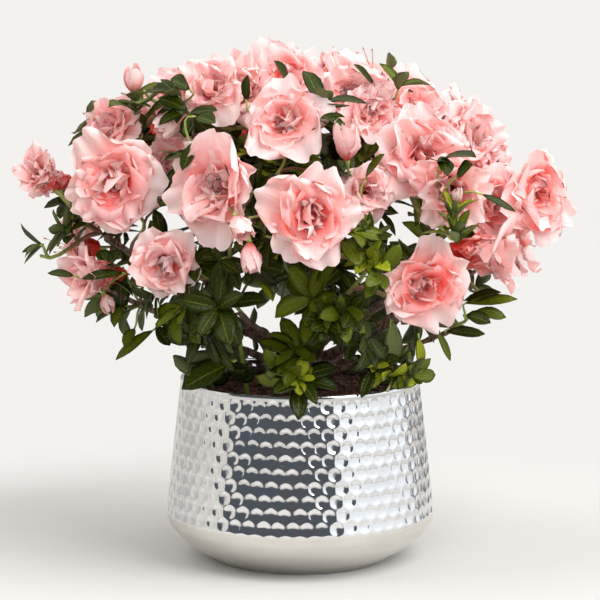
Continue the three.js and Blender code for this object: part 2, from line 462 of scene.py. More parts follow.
@dataclass(frozen=True)
class LeafSkin:
    """Glossy azalea leaf: a paler midrib, faint side veins, and a tint for each column."""

    mature: tuple = (0.019, 0.029, 0.001)
    middle: tuple = (0.080, 0.102, 0.003)
    young: tuple = (0.280, 0.310, 0.012)
    under: tuple = (0.135, 0.165, 0.060)
    rib: tuple = (0.26, 0.28, 0.05)
    vein_turns: float = 46.0
    vein_slant: float = 0.22
    roughness: float = 0.24
    under_roughness: float = 0.25
    index: float = 1.27

    def material(self) -> bpy.types.Material:
        """Makes the finish.

        Returns:
            The material.
        """
        material, graph = new_finish("leaf_skin")
        u, v, column, _ = graph.cell()
        tint = graph.blend(graph.past(column, 0.5), self.mature, self.middle)
        tint = graph.blend(graph.past(column, 1.5), tint, self.young)
        tint = graph.blend(graph.past(column, 2.5), tint, self.under)
        side = graph.add("ShaderNodeMath", {"operation": "ABSOLUTE"}, {0: u - 0.5}) * 2
        rib = 1 - graph.ease(side, 0.015, 0.085)
        swing = (v - side * self.vein_slant) * self.vein_turns
        veins = graph.add("ShaderNodeMath", {"operation": "SINE"}, {0: swing})
        vein = graph.ease(veins, 0.7, 1.0) * (1 - side) * 0.10
        blade = graph.blend(graph.ease(side, 0.2, 1.0) * 0.35, tint, self.mature)
        blade = graph.blend(vein, blade, self.rib)
        blade = graph.blend(rib * 0.36, blade, self.rib)
        place = graph.object_place()
        fine = graph.noise(place, 500.0, 2.0)
        normal = graph.bump(veins * -0.12 + rib * -0.8 + fine * 0.5, 0.0004)
        rough = self.roughness + (fine - 0.5) * 0.14 + graph.past(column, 2.5) * self.under_roughness
        surface(graph, {"Base Color": blade, "Roughness": rough, "Normal": normal, "IOR": self.index})
        return material


class PetalRank(Enum):
    """What a petal is, by its row in the colour map."""

    OUTER = 0
    INNER = 1
    CLOSED = 2
    THREAD = 3


@dataclass(frozen=True)
class PetalSkin:
    """Thin satin petal: deep coral in the throat, pink in the blade, nearly white at the rim."""

    throat: tuple = (0.88, 0.050, 0.040)
    coral: tuple = (0.99, 0.185, 0.155)
    blade: tuple = (1.0, 0.510, 0.495)
    rim: tuple = (1.0, 0.840, 0.830)
    glow: tuple = (1.0, 0.430, 0.390)
    thread: tuple = (0.93, 0.62, 0.50)
    knob: tuple = (0.60, 0.33, 0.20)
    through: float = 0.40
    roughness: float = 0.5
    index: float = 1.35

    def material(self) -> bpy.types.Material:
        """Makes the finish.

        Returns:
            The material.
        """
        material, graph = new_finish("petal_skin")
        u, v, column, row = graph.cell()
        pale = column / (CELLS - 1)
        closed = graph.past(row, 1.5)
        inner = graph.past(row, 0.5) * (1 - closed)
        side = graph.add("ShaderNodeMath", {"operation": "ABSOLUTE"}, {0: u - 0.5}) * 2
        streak = graph.noise(graph.joined(u * 13 + column * 5, v * 1.1, row), 1.0, 4.0)
        reach = v + (streak - 0.5) * 0.22 + pale * 0.16 - side * 0.03 - inner * 0.10 + closed * 0.3
        stops = [(0.29, self.throat), (0.49, self.coral), (0.68, self.blade), (0.98, self.rim)]
        body = graph.ramp(reach, stops)
        edge = graph.ease(side + v * 0.25, 0.95, 1.22) + graph.ease(v, 0.88, 1.0)
        body = graph.blend(graph.ease(edge, 0.0, 1.2) * (0.6 - inner * 0.25), body, self.rim)
        veins = graph.noise(graph.joined(u * 42, v * 2.2, column), 1.0, 2.0)
        veined = graph.blend(graph.ease(veins, 0.55, 0.75) * 0.16, body, self.coral)
        stamen = graph.blend(graph.past(column, 0.5), self.knob, self.thread)
        veined = graph.blend(graph.past(row, 2.5), veined, stamen)
        normal = graph.bump(veins * 0.6 + streak * 0.6, 0.0008)
        skin = {"Base Color": veined, "Roughness": self.roughness, "Normal": normal, "IOR": self.index}
        surface(graph, skin, self.through, self.glow)
        return material


# ------------ Joined meshes from arrays


def cell_place(u: np.ndarray, v: np.ndarray, column: Any, row: Any) -> np.ndarray:
    """Lays places from 0 to 1 in one cell of the colour map.

    Args:
        u: Across the petal or leaf.
        v: Along it.
        column: The cell's column.
        row: The cell's row.

    Returns:
        The map places, with a last axis of two.
    """
    inner = 1 - 2 * CELL_MARGIN
    places = [(column + CELL_MARGIN + inner * u) / CELLS, (row + CELL_MARGIN + inner * v) / CELLS]
    return np.stack(np.broadcast_arrays(*places), axis=-1)


@dataclass
class Sheaf:
    """Gathers many small four-sided meshes, and joins them into one piece."""

    points: list = field(default_factory=list)
    faces: list = field(default_factory=list)
    places: list = field(default_factory=list)
    count: int = 0

    def add(self, points: np.ndarray, faces: np.ndarray, places: np.ndarray) -> None:
        """Adds a mesh.

        Args:
            points: Its points, n by 3.
            faces: Its faces by point number, m by 4.
            places: The map place of each face's corners, m by 4 by 2.
        """
        self.points.append(points)
        self.faces.append(faces + self.count)
        self.places.append(places)
        self.count += len(points)

    def piece(self, name: str, material: bpy.types.Material) -> bpy.types.Object:
        """Makes the joined piece.

        Args:
            name: The piece's name.
            material: Its finish.

        Returns:
            The object, at the origin.
        """
        points = np.concatenate(self.points)
        faces = np.concatenate(self.faces)
        mesh = bpy.data.meshes.new(name)
        mesh.vertices.add(len(points))
        mesh.vertices.foreach_set("co", points.astype(np.float32).ravel())
        mesh.loops.add(faces.size)
        mesh.loops.foreach_set("vertex_index", faces.astype(np.int32).ravel())
        mesh.polygons.add(len(faces))
        mesh.polygons.foreach_set("loop_start", np.arange(len(faces), dtype=np.int32) * 4)
        mesh.polygons.foreach_set("use_smooth", np.ones(len(faces), dtype=bool))
        mesh.update(calc_edges=True)
        layer = mesh.uv_layers.new(name=MAP_NAME)
        layer.data.foreach_set("uv", np.concatenate(self.places).astype(np.float32).ravel())
        mesh.materials.append(material)
        piece = bpy.data.objects.new(name, mesh)
        bpy.context.scene.collection.objects.link(piece)
        return piece


def grid_faces(rows: int, columns: int, closed: bool = False) -> np.ndarray:
    """Numbers the faces of a grid of points.

    Args:
        rows: Rows of points.
        columns: Points in a row.
        closed: Whether each row joins up with its own start.

    Returns:
        The faces, m by 4.
    """
    last = columns if closed else columns - 1
    r, c = np.meshgrid(np.arange(rows - 1), np.arange(last), indexing="ij")
    after = (c + 1) % columns
    corners = [r * columns + c, r * columns + after, (r + 1) * columns + after, (r + 1) * columns + c]
    return np.stack(corners, axis=-1).reshape(-1, 4)


def add_tube(sheaf: Sheaf, path: np.ndarray, radii: np.ndarray, sides: int, cell: tuple) -> None:
    """Adds a tube along a path, closed by a small last ring.

    Args:
        sheaf: Where it goes.
        path: Its centre points, n by 3.
        radii: Its radius at each.
        sides: How many sides it has.
        cell: The column and row of its colour cell.
    """
    tip = path[-1:] + unit(path[-1:] - path[-2:-1]) * radii[-1] * 0.6
    path = np.vstack([path, tip])
    radii = np.append(radii, radii[-1] * 0.15)
    ahead = unit(np.gradient(path, axis=0))
    side = across(ahead[0], np.array([0.27, -0.61, 0.74]))
    rings = []
    turn = np.linspace(0, 2 * math.pi, sides, endpoint=False)[:, None]
    for centre, along, radius in zip(path, ahead, radii):
        side = across(along, side)
        rings.append(centre + radius * (np.cos(turn) * side + np.sin(turn) * np.cross(along, side)))
    faces = grid_faces(len(path), sides, closed=True)
    around = (faces[:, :1] % sides + np.array([0, 1, 1, 0])) / sides
    v = faces // sides / (len(path) - 1)
    sheaf.add(np.concatenate(rings), faces, cell_place(around, v, *cell))


# ------------ Leaves


@dataclass
class Leaf:
    """One leaf: its foot, where it points, the way its face looks, its size and its tint."""

    foot: np.ndarray
    ahead: np.ndarray
    face: np.ndarray
    length: float
    width: float
    curl: float
    fold: float
    tint: LeafTint


@dataclass
class LeafForm:
    """The leaf's outline and section, as a thin closed shell with a top and an underside."""

    rows: int = 7
    columns: int = 5
    thick: float = 0.00045
    stalk: float = 0.0006
    tip: float = 0.00025

    def shells(self, leaves: list[Leaf], rng: np.random.Generator) -> np.ndarray:
        """Shapes the leaves' points.

        Args:
            leaves: The leaves.
            rng: The random source for their waves.

        Returns:
            Points, leaf by leaf: the top's rows, then the underside's inner points.
        """
        count = len(leaves)
        x = np.linspace(0, 1, self.rows)[None, :, None]
        y = np.linspace(-1, 1, self.columns)[None, None, :]
        length, width, curl, fold = (
            np.array([getattr(leaf, name) for leaf in leaves])[:, None, None]
            for name in ("length", "width", "curl", "fold")
        )
        outline = np.sin(math.pi * x**1.1) ** 0.7
        ends = self.stalk * (1 - x) + self.tip * x
        half = width * outline + ends
        wave = np.sin(x * 9 + rng.uniform(0, 6, (count, 1, 1))) * 0.07 * width * np.abs(y)
        twist = rng.normal(0, 0.16, (count, 1, 1)) * x
        bend = curl * x
        reach = np.where(np.abs(curl) < 1e-3, x, np.sin(bend) / np.where(curl == 0, 1, curl))
        sink = np.where(np.abs(curl) < 1e-3, 0, (1 - np.cos(bend)) / np.where(curl == 0, 1, curl))
        lift = fold * half * np.abs(y) ** 1.3 + wave + twist * half * y
        along = reach * length + lift * np.sin(bend)
        out = half * y
        up = -sink * length + lift * np.cos(bend)
        top = np.stack(np.broadcast_arrays(along, out, up), axis=-1)
        under = top[:, 1:-1, 1:-1].copy()
        depth = self.thick * np.sin(math.pi * x[:, 1:-1]) * (1 - y[:, :, 1:-1] ** 2) + 0.0001
        under[..., 2] -= depth
        local = np.concatenate([top.reshape(count, -1, 3), under.reshape(count, -1, 3)], axis=1)
        ahead = unit(np.array([leaf.ahead for leaf in leaves]))
        face = np.array([leaf.face for leaf in leaves])
        face = unit(face - ahead * np.sum(ahead * face, axis=1, keepdims=True) + 1e-6)
        axes = np.stack([ahead, np.cross(face, ahead), face], axis=1)
        feet = np.array([leaf.foot for leaf in leaves])[:, None, :]
        return local @ axes + feet

    def numbering(self) -> tuple[np.ndarray, np.ndarray]:
        """Numbers a leaf's faces.

        Returns:
            The top faces and the underside faces.
        """
        top = np.arange(self.rows * self.columns).reshape(self.rows, self.columns)
        under = top.copy()
        inner = (self.rows - 2, self.columns - 2)
        under[1:-1, 1:-1] = np.arange(inner[0] * inner[1]).reshape(inner) + top.size
        grid = grid_faces(self.rows, self.columns)
        return grid, under.ravel()[grid][:, ::-1]

    def gather(self, leaves: list[Leaf], rng: np.random.Generator) -> Sheaf:
        """Joins leaves, coloured by tint above and with the underside's tint below.

        Args:
            leaves: The leaves.
            rng: The random source for their waves.

        Returns:
            The joined leaves.
        """
        points = self.shells(leaves, rng)
        top, under = self.numbering()
        rows, columns = np.divmod(grid_faces(self.rows, self.columns), self.columns)
        u, v = columns / (self.columns - 1), rows / (self.rows - 1)
        below = cell_place(u, v, LeafTint.UNDER.value, 0)[:, ::-1]
        sheaf = Sheaf()
        for leaf, shell in zip(leaves, points):
            above = cell_place(u, v, leaf.tint.value, 0)
            sheaf.add(shell, np.concatenate([top, under]), np.concatenate([above, below]))
        return sheaf


# ------------ Blooms


class Stage(Enum):
    """How far a bloom has opened."""

    WIDE = "wide open"
    HALF = "half open"
    FUNNEL = "funnel"
    OPENING = "opening"
    BUD = "bud"


@dataclass(frozen=True)
class Whorl:
    """A ring of like petals. Lengths go by the bloom's own scale, angles are degrees from its axis."""

    petals: int
    length: float
    width: float
    throat: float
    spread: float
    ruffle: float
    ring: float = 0.03
    tube: float = 0.25
    flare: float = 0.45
    cup: float = 0.0
    twist: float = 0.0
    rank: PetalRank = PetalRank.OUTER
    along: int = 16
    across: int = 14


BLOOM_FORMS = {
    Stage.WIDE: (
        Whorl(5, 0.62, 0.265, 18, 94, 0.044, tube=0.22, flare=0.36),
        Whorl(5, 0.51, 0.215, 14, 80, 0.056, 0.02, 0.24, 0.40),
        Whorl(5, 0.34, 0.150, 12, 58, 0.070, 0.015, 0.30, 0.5, 2.0, 0.5, PetalRank.INNER, 10, 8),
        Whorl(4, 0.25, 0.120, 8, 34, 0.050, 0.010, 0.25, 0.5, 3.0, 0.6, PetalRank.INNER, 9, 8),
    ),
    Stage.HALF: (
        Whorl(5, 0.68, 0.275, 18, 80, 0.046, tube=0.24, flare=0.42),
        Whorl(5, 0.60, 0.230, 14, 60, 0.060, 0.02, 0.26, 0.45),
        Whorl(5, 0.46, 0.175, 8, 46, 0.072, 0.015, 0.30, 0.5, 2.0, 0.5, PetalRank.INNER, 10, 8),
        Whorl(4, 0.35, 0.130, 4, 28, 0.050, 0.010, 0.25, 0.5, 3.0, 0.6, PetalRank.INNER, 9, 8),
    ),
    Stage.FUNNEL: (
        Whorl(5, 0.98, 0.250, 12, 62, 0.055, tube=0.42, flare=0.45),
        Whorl(5, 0.88, 0.215, 10, 44, 0.060, 0.02, 0.40, 0.5),
        Whorl(4, 0.76, 0.140, 6, 22, 0.055, 0.010, 0.30, 0.6, 2.0, 0.5, PetalRank.INNER, 9, 8),
    ),
    Stage.OPENING: (
        Whorl(5, 1.45, 0.45, 36, -8, 0.020, 0.06, 0.05, 0.8, 0.4, 0.1, PetalRank.CLOSED),
        Whorl(4, 1.38, 0.38, 28, -10, 0.030, 0.04, 0.05, 0.8, 0.8, 0.2, PetalRank.CLOSED, 9, 8),
        Whorl(3, 1.25, 0.26, 16, -4, 0.040, 0.02, 0.05, 0.8, 2.0, 0.4, PetalRank.CLOSED, 9, 8),
    ),
    Stage.BUD: (
        Whorl(5, 1.85, 0.52, 44, -24, 0.010, 0.05, 0.0, 1.0, 0.3, 0.10, PetalRank.CLOSED, 9, 7),
        Whorl(3, 1.90, 0.30, 32, -20, 0.010, 0.04, 0.0, 1.0, 0.3, 0.10, PetalRank.CLOSED, 9, 7),
    ),
}


@dataclass
class Bloom:
    """Where a bloom sits, which way it looks, how big and open it is, and its shaped petals."""

    centre: np.ndarray
    facing: np.ndarray
    diameter: float
    stage: Stage
    tint: int
    key: int
    depth: float = 0.3
    petals: list = field(default_factory=list)

    def foot(self) -> np.ndarray:
        """Returns where the bloom's tube starts."""
        return self.centre - self.facing * self.diameter * self.depth

    def is_open(self) -> bool:
        """Tells whether the bloom shows its face."""
        return self.stage not in (Stage.OPENING, Stage.BUD)


@dataclass
class Florist:
    """Shapes blooms, petal by petal."""

    widest: float = 0.66
    rounding: float = 0.24
    corner: float = 0.33
    notch: float = 0.05
    teeth: float = 0.034
    lobes: float = 0.10
    crease: float = 0.020
    fullest: float = 0.95
    claw: float = 0.15
    waves: tuple = (4.2, 7.9, 13.5)
    bulge: float = 0.018
    steps: int = 48
    thread_radius: float = 0.00032
    knob_radii: tuple = (0.0006, 0.0005)
    knob_length: float = 0.0016
    stalk_radii: tuple = (0.0009, 0.0009, 0.0010, 0.0013, 0.0019)
    stalk_length: float = 0.011
    sepals: int = 5
    sepal_half: float = 0.0017

    def midline(self, whorl: Whorl, length: float, rng: np.random.Generator) -> np.ndarray:
        """Draws a petal's middle line, up the tube and outwards.

        Args:
            whorl: The ring it belongs to.
            length: The petal's length.
            rng: The random source for how far it opens.

        Returns:
            Its angle from the bloom's axis, its distance from it and its height, at even steps.
        """
        s = np.linspace(0, 1, self.steps + 1)
        opened = smooth((s - whorl.tube) / whorl.flare)
        loose = 18 if whorl.rank is PetalRank.INNER else 10
        spread = whorl.spread + rng.normal(0, loose if whorl.spread > 0 else 2)
        angle = np.radians(whorl.throat + (spread - whorl.throat) * opened)
        angle = angle + np.radians(rng.normal(4, 15) if whorl.spread > 20 else 0) * s**2
        out = whorl.ring + np.concatenate([[0], np.cumsum(np.sin(angle[1:]))]) * length / self.steps
        up = np.concatenate([[0], np.cumsum(np.cos(angle[1:]))]) * length / self.steps
        return np.stack([angle, out, up])

    def stations(self, u: np.ndarray, v: np.ndarray, rng: np.random.Generator) -> np.ndarray:
        """Spaces a petal's points along its middle line, to a round, notched and toothed tip.

        Args:
            u: Across the petal, -1 to 1.
            v: Along it, 0 to 1.
            rng: The random source for the notch and the teeth.

        Returns:
            The points' places on the middle line, 0 to 1.
        """
        wavy = sum(np.sin(u * k + rng.uniform(0, 6)) / k**0.4 for k in self.waves)
        place = v * self.fullest * (1 - self.corner * np.abs(u) ** 3.0)
        place = place - self.notch * rng.uniform(0, 1.6) * np.exp(-((u / 0.14) ** 2)) * v**5
        return np.clip(place + self.teeth * wavy * v**4, 0, 1)

    def sides(self, u: np.ndarray, v: np.ndarray, width: float, radius: np.ndarray,
              rng: np.random.Generator) -> np.ndarray:
        """Draws a petal's lobed side edges.

        Args:
            u: Across the petal, -1 to 1.
            v: Along it, 0 to 1.
            width: Half its greatest width.
            radius: The points' distance from the bloom's axis.
            rng: The random source for the lobes.

        Returns:
            The points' distance from the middle line.
        """
        rise = np.sin(math.pi / 2 * np.minimum(1, v / self.widest) ** 1.25)
        past = np.maximum(0, (v - self.widest) / (1 - self.widest))
        outline = (self.claw + (1 - self.claw) * rise) * (1 - self.rounding * past**2.2)
        half = np.maximum(width * outline, np.minimum(0.72 * radius, width * 0.4))
        edge = (u > 0).astype(int)
        lobe = np.sin(2 * math.pi * rng.uniform(1.4, 2.4) * v + rng.uniform(0, 6, 2)[edge])
        lobe = lobe + 0.5 * np.sin(2 * math.pi * rng.uniform(4.0, 6.0) * v + rng.uniform(0, 6, 2)[edge])
        return half * (1 + self.lobes * lobe * smooth(v * 2 - 0.5)) * u

    @staticmethod
    def rolled(side: np.ndarray, bend: np.ndarray) -> tuple[np.ndarray, np.ndarray]:
        """Rolls a petal's width round its middle line.

        Args:
            side: The points' distance from the middle line.
            bend: How sharply the width curves, one over a radius.

        Returns:
            How far the points then lie to the side, and how far inwards.
        """
        phi = np.clip(side * bend, -1.35, 1.35)
        bend = np.where(np.abs(side) > 1e-6, phi / np.where(side == 0, 1, side), bend)
        bend = np.where(bend == 0, 1, bend)
        curved = np.abs(phi) > 1e-4
        return np.where(curved, np.sin(phi) / bend, side), np.where(curved, (1 - np.cos(phi)) / bend, 0)

    def ruffles(self, depth: float, u: np.ndarray, v: np.ndarray, rng: np.random.Generator) -> np.ndarray:
        """Waves a petal's margins, tip and pleats, and creases its middle.

        Args:
            depth: How deep the ruffles are.
            u: Across the petal, -1 to 1.
            v: Along it, 0 to 1.
            rng: The random source for the waves.

        Returns:
            How far the points lie inwards.
        """
        edge = (u > 0).astype(int)
        phase, turns = rng.uniform(0, 6, 2), rng.uniform(2.0, 4.2, 2)
        margin = np.sin(2 * math.pi * turns[edge] * v + phase[edge])
        margin = margin * np.abs(u) ** 1.7 * smooth(v * 1.6)
        tip = v**3 * np.sin(rng.uniform(5.0, 10.0) * u + rng.uniform(0, 6))
        pleats = 0.30 * v * np.sin(u * rng.uniform(7, 12) + rng.uniform(0, 6))
        crease = self.crease * np.exp(-((u / 0.16) ** 2)) * np.sin(math.pi * v)
        return depth * (margin + 0.7 * tip + pleats) - crease

    def petal(self, whorl: Whorl, rng: np.random.Generator) -> np.ndarray:
        """Shapes one petal, rooted on the bloom's axis and leaning out along +X.

        Args:
            whorl: The ring it belongs to.
            rng: The random source for its size and ruffles.

        Returns:
            Points, rows by columns by 3.
        """
        u, v = np.meshgrid(np.linspace(-1, 1, whorl.across + 1), np.linspace(0, 1, whorl.along + 1))
        length = whorl.length * rng.uniform(0.82, 1.10)
        width = whorl.width * rng.uniform(0.86, 1.20)
        midline = self.midline(whorl, length, rng)
        places, even = self.stations(u, v, rng), np.linspace(0, 1, self.steps + 1)
        angle, out, up = (np.interp(places, even, line) for line in midline)
        radius = np.maximum(out, 0.015)
        bend = np.clip(np.cos(angle), 0, 1) / (radius + 0.05) * 0.8 + whorl.cup * v * 0.6
        flat, inward = self.rolled(self.sides(u, v, width, radius, rng), bend)
        inward = inward + self.ruffles(whorl.ruffle, u, v, rng)
        twist = whorl.twist * rng.normal(0, 1) * v
        side = flat * np.cos(twist) - inward * np.sin(twist)
        lift = flat * np.sin(twist) + inward * np.cos(twist)
        return np.stack([out - lift * np.cos(angle), side, up + lift * np.sin(angle)], axis=-1)

    def shape(self, bloom: Bloom) -> Bloom:
        """Shapes a bloom's petals, at a diameter of one and with its foot at the origin.

        Args:
            bloom: The bloom.

        Returns:
            The same bloom, with its petals and the depth of its tube.
        """
        rng = seeded(7, bloom.key)
        drift = rng.uniform(0, 6, 3)
        for number, whorl in enumerate(BLOOM_FORMS[bloom.stage]):
            offset = rng.uniform(0, 0.5) + number * math.pi / whorl.petals
            for place in range(whorl.petals):
                petal = self.petal(whorl, rng)
                bearing = offset + 2 * math.pi * place / whorl.petals + rng.normal(0, 0.13)
                c, s = math.cos(bearing), math.sin(bearing)
                spun = petal @ np.array([[c, s, 0], [-s, c, 0], [0, 0, 1.0]])
                swell = self.bulge * np.sin(spun[..., [1, 2, 0]] * 7 + drift)
                bloom.petals.append((whorl, spun + swell))
        every = np.concatenate([petal.reshape(-1, 3) for _, petal in bloom.petals])
        reach = float(np.percentile(np.linalg.norm(every[:, :2], axis=1), 99.5))
        bloom.petals = [(whorl, petal * 0.5 / reach) for whorl, petal in bloom.petals]
        bloom.depth = float(np.percentile(every[:, 2], 75)) * 0.5 / reach
        return bloom

    def lay(self, bloom: Bloom, sheaf: Sheaf) -> None:
        """Adds a bloom's petals to a sheaf, in their place.

        Args:
            bloom: The bloom, shaped.
            sheaf: Where they go.
        """
        rng = seeded(12, bloom.key)
        turn = turned_to(bloom.facing, rng.uniform(0, 2 * math.pi))
        for whorl, petal in bloom.petals:
            points = petal.reshape(-1, 3) * bloom.diameter @ turn.T + bloom.foot()
            faces = grid_faces(whorl.along + 1, whorl.across + 1)
            rows, columns = np.divmod(faces, whorl.across + 1)
            tint = int(np.clip(bloom.tint + rng.integers(-1, 2), 0, CELLS - 1))
            places = cell_place(columns / whorl.across, rows / whorl.along, tint, whorl.rank.value)
            sheaf.add(points, faces, places)

    def threads(self, bloom: Bloom, sheaf: Sheaf) -> None:
        """Adds the pale stamens of an open bloom to a sheaf.

        Args:
            bloom: The bloom, shaped.
            sheaf: Where they go.
        """
        if not bloom.is_open():
            return
        rng = seeded(8, bloom.key)
        turn = turned_to(bloom.facing, 0.0)
        for _ in range(int(rng.integers(2, 6))):
            bearing = rng.uniform(0, 2 * math.pi)
            out = np.array([math.cos(bearing), math.sin(bearing), 0.0])
            lean = rng.uniform(0.10, 0.30)
            start = out * 0.012
            end = out * lean + UP * rng.uniform(0.40, 0.56)
            path = arc(start, UP * 0.25 + out * 0.03, end, 7) * bloom.diameter @ turn.T + bloom.foot()
            add_tube(sheaf, path, np.full(8, self.thread_radius), 4, (3, PetalRank.THREAD.value))
            knob = np.array([path[-1], path[-1] + unit(path[-1] - path[-2]) * self.knob_length])
            add_tube(sheaf, knob, np.array(self.knob_radii), 5, (0, PetalRank.THREAD.value))

    def stalk(self, bloom: Bloom, sheaf: Sheaf) -> np.ndarray:
        """Adds a bloom's stalk and the pointed green lobes round its foot.

        Args:
            bloom: The bloom.
            sheaf: Where they go.

        Returns:
            Where the stalk leaves its shoot.
        """
        rng = seeded(9, bloom.key)
        foot = bloom.foot()
        start = foot - bloom.facing * self.stalk_length + rng.normal(0, 0.0012, 3)
        path = arc(start, foot - bloom.facing * 0.006, foot, len(self.stalk_radii) - 1)
        add_tube(sheaf, path, np.array(self.stalk_radii), 6, (0, 0))
        turn = turned_to(bloom.facing, rng.uniform(0, 6))
        for sepal in range(self.sepals):
            bearing = 2 * math.pi * sepal / self.sepals
            out = turn @ np.array([math.cos(bearing), math.sin(bearing), 0.0])
            side = np.cross(bloom.facing, out)
            v = np.linspace(0, 1, 5)[:, None, None]
            u = np.array([-1.0, 0.0, 1.0])[None, :, None]
            half = self.sepal_half * np.sin(math.pi * (0.2 + 0.79 * v)) ** 0.8
            lean = out * (0.0012 + 0.0030 * v**1.2) + bloom.facing * (0.0075 * v - 0.001)
            shape = foot + lean + side * half * u - out * 0.0007 * np.abs(u)
            faces = grid_faces(5, 3)
            rows, columns = np.divmod(faces, 3)
            places = cell_place(columns / 2, rows / 4, 1, 0)
            sheaf.add(shape.reshape(-1, 3), faces, places)
        return start


# ------------ Growth


@dataclass(frozen=True)
class SetBloom:
    """A bloom given one by one: its mass, its place there in half-sizes, its looks and its size."""

    mass: str
    place: tuple
    facing: tuple
    stage: Stage
    diameter: float
    tint: int = 1


SET_BLOOMS = (
    SetBloom("blooms_far_left", (0.0, -0.5, 0.1), (-46, 36), Stage.FUNNEL, 0.038),
    SetBloom("blooms_far_left", (0.35, 0.5, -0.2), (-70, 10), Stage.FUNNEL, 0.034),
    SetBloom("blooms_left_front", (-0.1, -0.2, 0.25), (-12, 4), Stage.WIDE, 0.074, 2),
    SetBloom("blooms_left_upper", (-0.25, -0.3, 0.05), (-38, 36), Stage.HALF, 0.058),
    SetBloom("blooms_top_left", (-0.4, 0.3, 0.0), (-28, 52), Stage.HALF, 0.058, 2),
    SetBloom("blooms_top_left", (0.35, -0.45, 0.1), (-8, 30), Stage.HALF, 0.056, 2),
    SetBloom("bud_shoot_left", (-0.2, -0.1, 0.05), (-20, 80), Stage.BUD, 0.015),
    SetBloom("blooms_left_upper", (0.85, -1.3, 0.2), (-55, -28), Stage.OPENING, 0.019),
    SetBloom("blooms_front_left", (0.05, -0.3, 0.15), (-42, 10), Stage.HALF, 0.082, 2),
    SetBloom("blooms_low_left", (0.1, -0.3, 0.0), (-4, -8), Stage.HALF, 0.052, 2),
    SetBloom("blooms_low_far_left", (0.0, -0.1, 0.1), (-62, 0), Stage.FUNNEL, 0.046),
    SetBloom("blooms_low_far_left", (0.6, -0.5, -0.6), (24, -40), Stage.BUD, 0.011),
    SetBloom("blooms_crown_top", (0.0, 0.1, -0.05), (4, 40), Stage.HALF, 0.062, 0),
    SetBloom("blooms_top_right", (-0.4, 0.6, 0.1), (10, 56), Stage.HALF, 0.058, 3),
    SetBloom("blooms_top_right", (-0.25, -0.7, -0.2), (0, 24), Stage.HALF, 0.054, 3),
    SetBloom("blooms_front_upper", (0.0, -0.2, 0.1), (-8, 20), Stage.WIDE, 0.066, 2),
    SetBloom("blooms_front_upper", (1.1, -0.7, -0.15), (-6, 70), Stage.OPENING, 0.021, 2),
    SetBloom("blooms_right_upper", (-0.05, 0.9, 0.5), (18, 42), Stage.HALF, 0.058, 1),
    SetBloom("blooms_right_upper", (0.05, -0.6, -0.3), (10, 12), Stage.HALF, 0.072, 1),
    SetBloom("blooms_right_front", (0.15, -0.1, 0.1), (-6, 6), Stage.HALF, 0.058, 0),
    SetBloom("blooms_right_top", (0.1, -0.4, 0.0), (48, 18), Stage.HALF, 0.064, 3),
    SetBloom("blooms_far_right", (0.1, -0.1, 0.0), (46, 8), Stage.WIDE, 0.074, 1),
    SetBloom("blooms_low_right_outer", (0.0, -0.1, 0.1), (78, -8), Stage.FUNNEL, 0.056),
    SetBloom("blooms_low_right", (-0.1, -0.3, 0.2), (12, -12), Stage.WIDE, 0.068, 1),
    SetBloom("blooms_centre_front", (0.05, -0.4, 0.05), (4, 4), Stage.WIDE, 0.072, 1),
    SetBloom("blooms_front_left", (0.5, -1.25, -0.35), (22, -34), Stage.OPENING, 0.0165, 3),
    SetBloom("blooms_front_left", (0.65, -1.15, -0.8), (16, -74), Stage.OPENING, 0.015, 2),
    SetBloom("blooms_right_front", (0.25, -0.9, 0.1), (10, 78), Stage.BUD, 0.008),
    SetBloom("blooms_right_top", (0.6, 0.2, -0.6), (70, 5), Stage.HALF, 0.056, 3),
    SetBloom("blooms_top_right", (0.15, -1.1, -0.55), (16, 16), Stage.HALF, 0.050, 2),
    SetBloom("blooms_crown_top", (-0.95, -0.3, -0.4), (-16, 30), Stage.HALF, 0.052, 2),
    SetBloom("blooms_left_upper", (0.9, -0.5, -0.8), (-20, 10), Stage.HALF, 0.050, 2),
    SetBloom("blooms_far_right", (-1.0, -0.3, -0.2), (28, 0), Stage.HALF, 0.056, 0),
    SetBloom("blooms_right_front", (-1.6, 0.1, 0.05), (24, 10), Stage.HALF, 0.046, 3),
)


@dataclass(frozen=True)
class SetSpray:
    """A spray of leaves given one by one: its mass and place there, its direction and its leaves."""

    mass: str
    place: tuple
    facing: tuple
    count: int
    length: float
    slim: float
    tint: LeafTint
    tilt: tuple = (40, 85)


